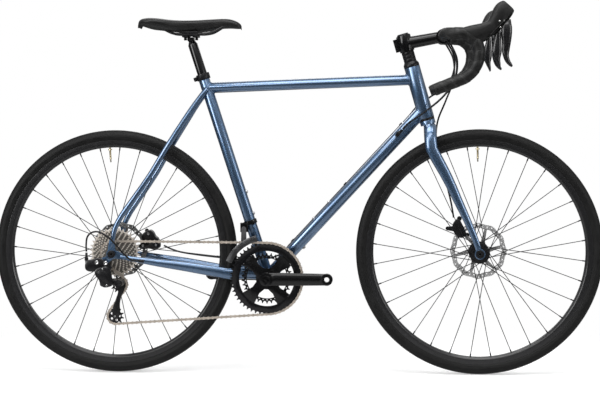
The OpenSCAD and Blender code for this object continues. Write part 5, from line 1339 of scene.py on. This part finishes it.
def pins(name, node, spots, outer, inner, radius, finish):
    """Like pins at several places (x, z), each a piece of its own."""
    for number, (x, z) in enumerate(spots):
        stands_for(pin(f"{name}_{number}", x, z, outer, inner, radius, finish), node, "steel")


castings("bracket_body", "rd_bracket",
         moulding("cast", bracket, -91.5, -74, 3.5, cast_black),
         turned("barrel", barrel_profile, from_axle(-69.4, -86, -30), Vector((0, 0, 1)), cast_black))
pins("pivot_ring", "rd_bracket", ((-40, -23), (-15.5, -25)), -92.1, -88, 6.2, polished)
castings("link_body", "rd_links",
         moulding("fat_link", outer_link, -103.6, -93.3, 3.5, cast_black),
         moulding("panel", link_panel, -104.6, -102, 1.2, cast_black),
         pin("upper_bush", -16, -38, -95, -69, 4.6, cast_black),
         pin("lower_bush", -16, -85.4, -96, -69, 4.6, cast_black))
pins("link_pin", "rd_links", ((-22, -40), (-11, -85.4)), -104.4, -102, 2.8, polished)
castings("knuckle_body", "rd_knuckle",
         moulding("cast", knuckle, -92.8, -66, 6, cast_black),
         pin("spring_drum", 24, -80, -106.5, -62, 11, cast_black))
castings("cage_sides", "rd_cage",
         moulding("outer_side", cage_side, -61.2, -59.2, 0.6, cast_black),
         moulding("inner_side", [(x, min(z, -80)) for x, z in cage_side], -50.4, -48.9, 0.5, cast_black),
         pin("cage_drum", 24, -80, -64, -59, 9, cast_black))
pins("pulley_bolt", "rd_cage", ((17, -88), (4.4, -178.1)), -62.8, -48.3, 2.9, bright)
plastic = pulley_plastic()
for node in ("guide_pulley", "tension_pulley"):
    softened(node, plastic, 0.0003)


def front_cage_plating():
    """Plated steel on the cage; its link, farther in, is painted."""
    f = Finish("front_cage_plating")
    _, y, _ = f.parts(f.place())
    link_share = y.ramp(-0.0409, -0.0407)
    smear = f.noise(60, 3).ramp(0.35, 0.7)
    tone = f.blend(link_share, (0.30, 0.30, 0.31), (0.006, 0.006, 0.007))
    return f.surface(tone, smear.ramp(0, 1, 0.2, 0.28), 1 - link_share)


softened("front_derailleur_body", gloss_black, 0.0004)
softened("front_derailleur_cage", front_cage_plating(), 0.0003)

# ---- Brake calipers and lever blocks ----
# Cast calipers bolted to fork and stay, each with an arm that the cable pulls, and the pivots inside the
# hoods. The rear one has a half on each side of the rotor, and a bridge joins them beyond its edge.
for node in ("front_caliper", "front_caliper_arm", "rear_caliper_arm"):
    softened(node, satin_black, 0.0006)
half_casting = [(56, 6), (60, 17), (66, 28), (64, 40), (70, 49), (80, 55), (91, 57), (99, 50), (104, 40),
                (111, 34), (116, 22), (117, 9), (110, 2), (98, 0), (84, 5), (70, 1)]
bridge = [(86, 6), (88, 17), (85, 28), (80, 39), (74, 48), (80, 55), (91, 57), (99, 50), (104, 40),
          (111, 34), (116, 22), (117, 9), (110, 2), (98, 0)]
castings("rear_castings", "rear_caliper",
         moulding("outer_half", half_casting, 58.2, 69, 3, cast_black),
         moulding("inner_half", half_casting, 43.7, 53.4, 3, cast_black),
         moulding("bridge", bridge, 50, 62, 0.5, cast_black))
pins("caliper_bolt", "rear_caliper", ((68, 12), (106, 14), (84, 46)), 42.6, 46, 3.6, bright)
for node in ("left_lever_block", "right_lever_block"):
    softened(node, polished, 0.0004)



def corners(pair):
    """A box's two corners as plain lists."""
    return [list(corner) for corner in pair]


with open("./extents.json", "w") as out:
    json.dump({"cad": corners(cad_box), "dressed": corners(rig.bounds())}, out)
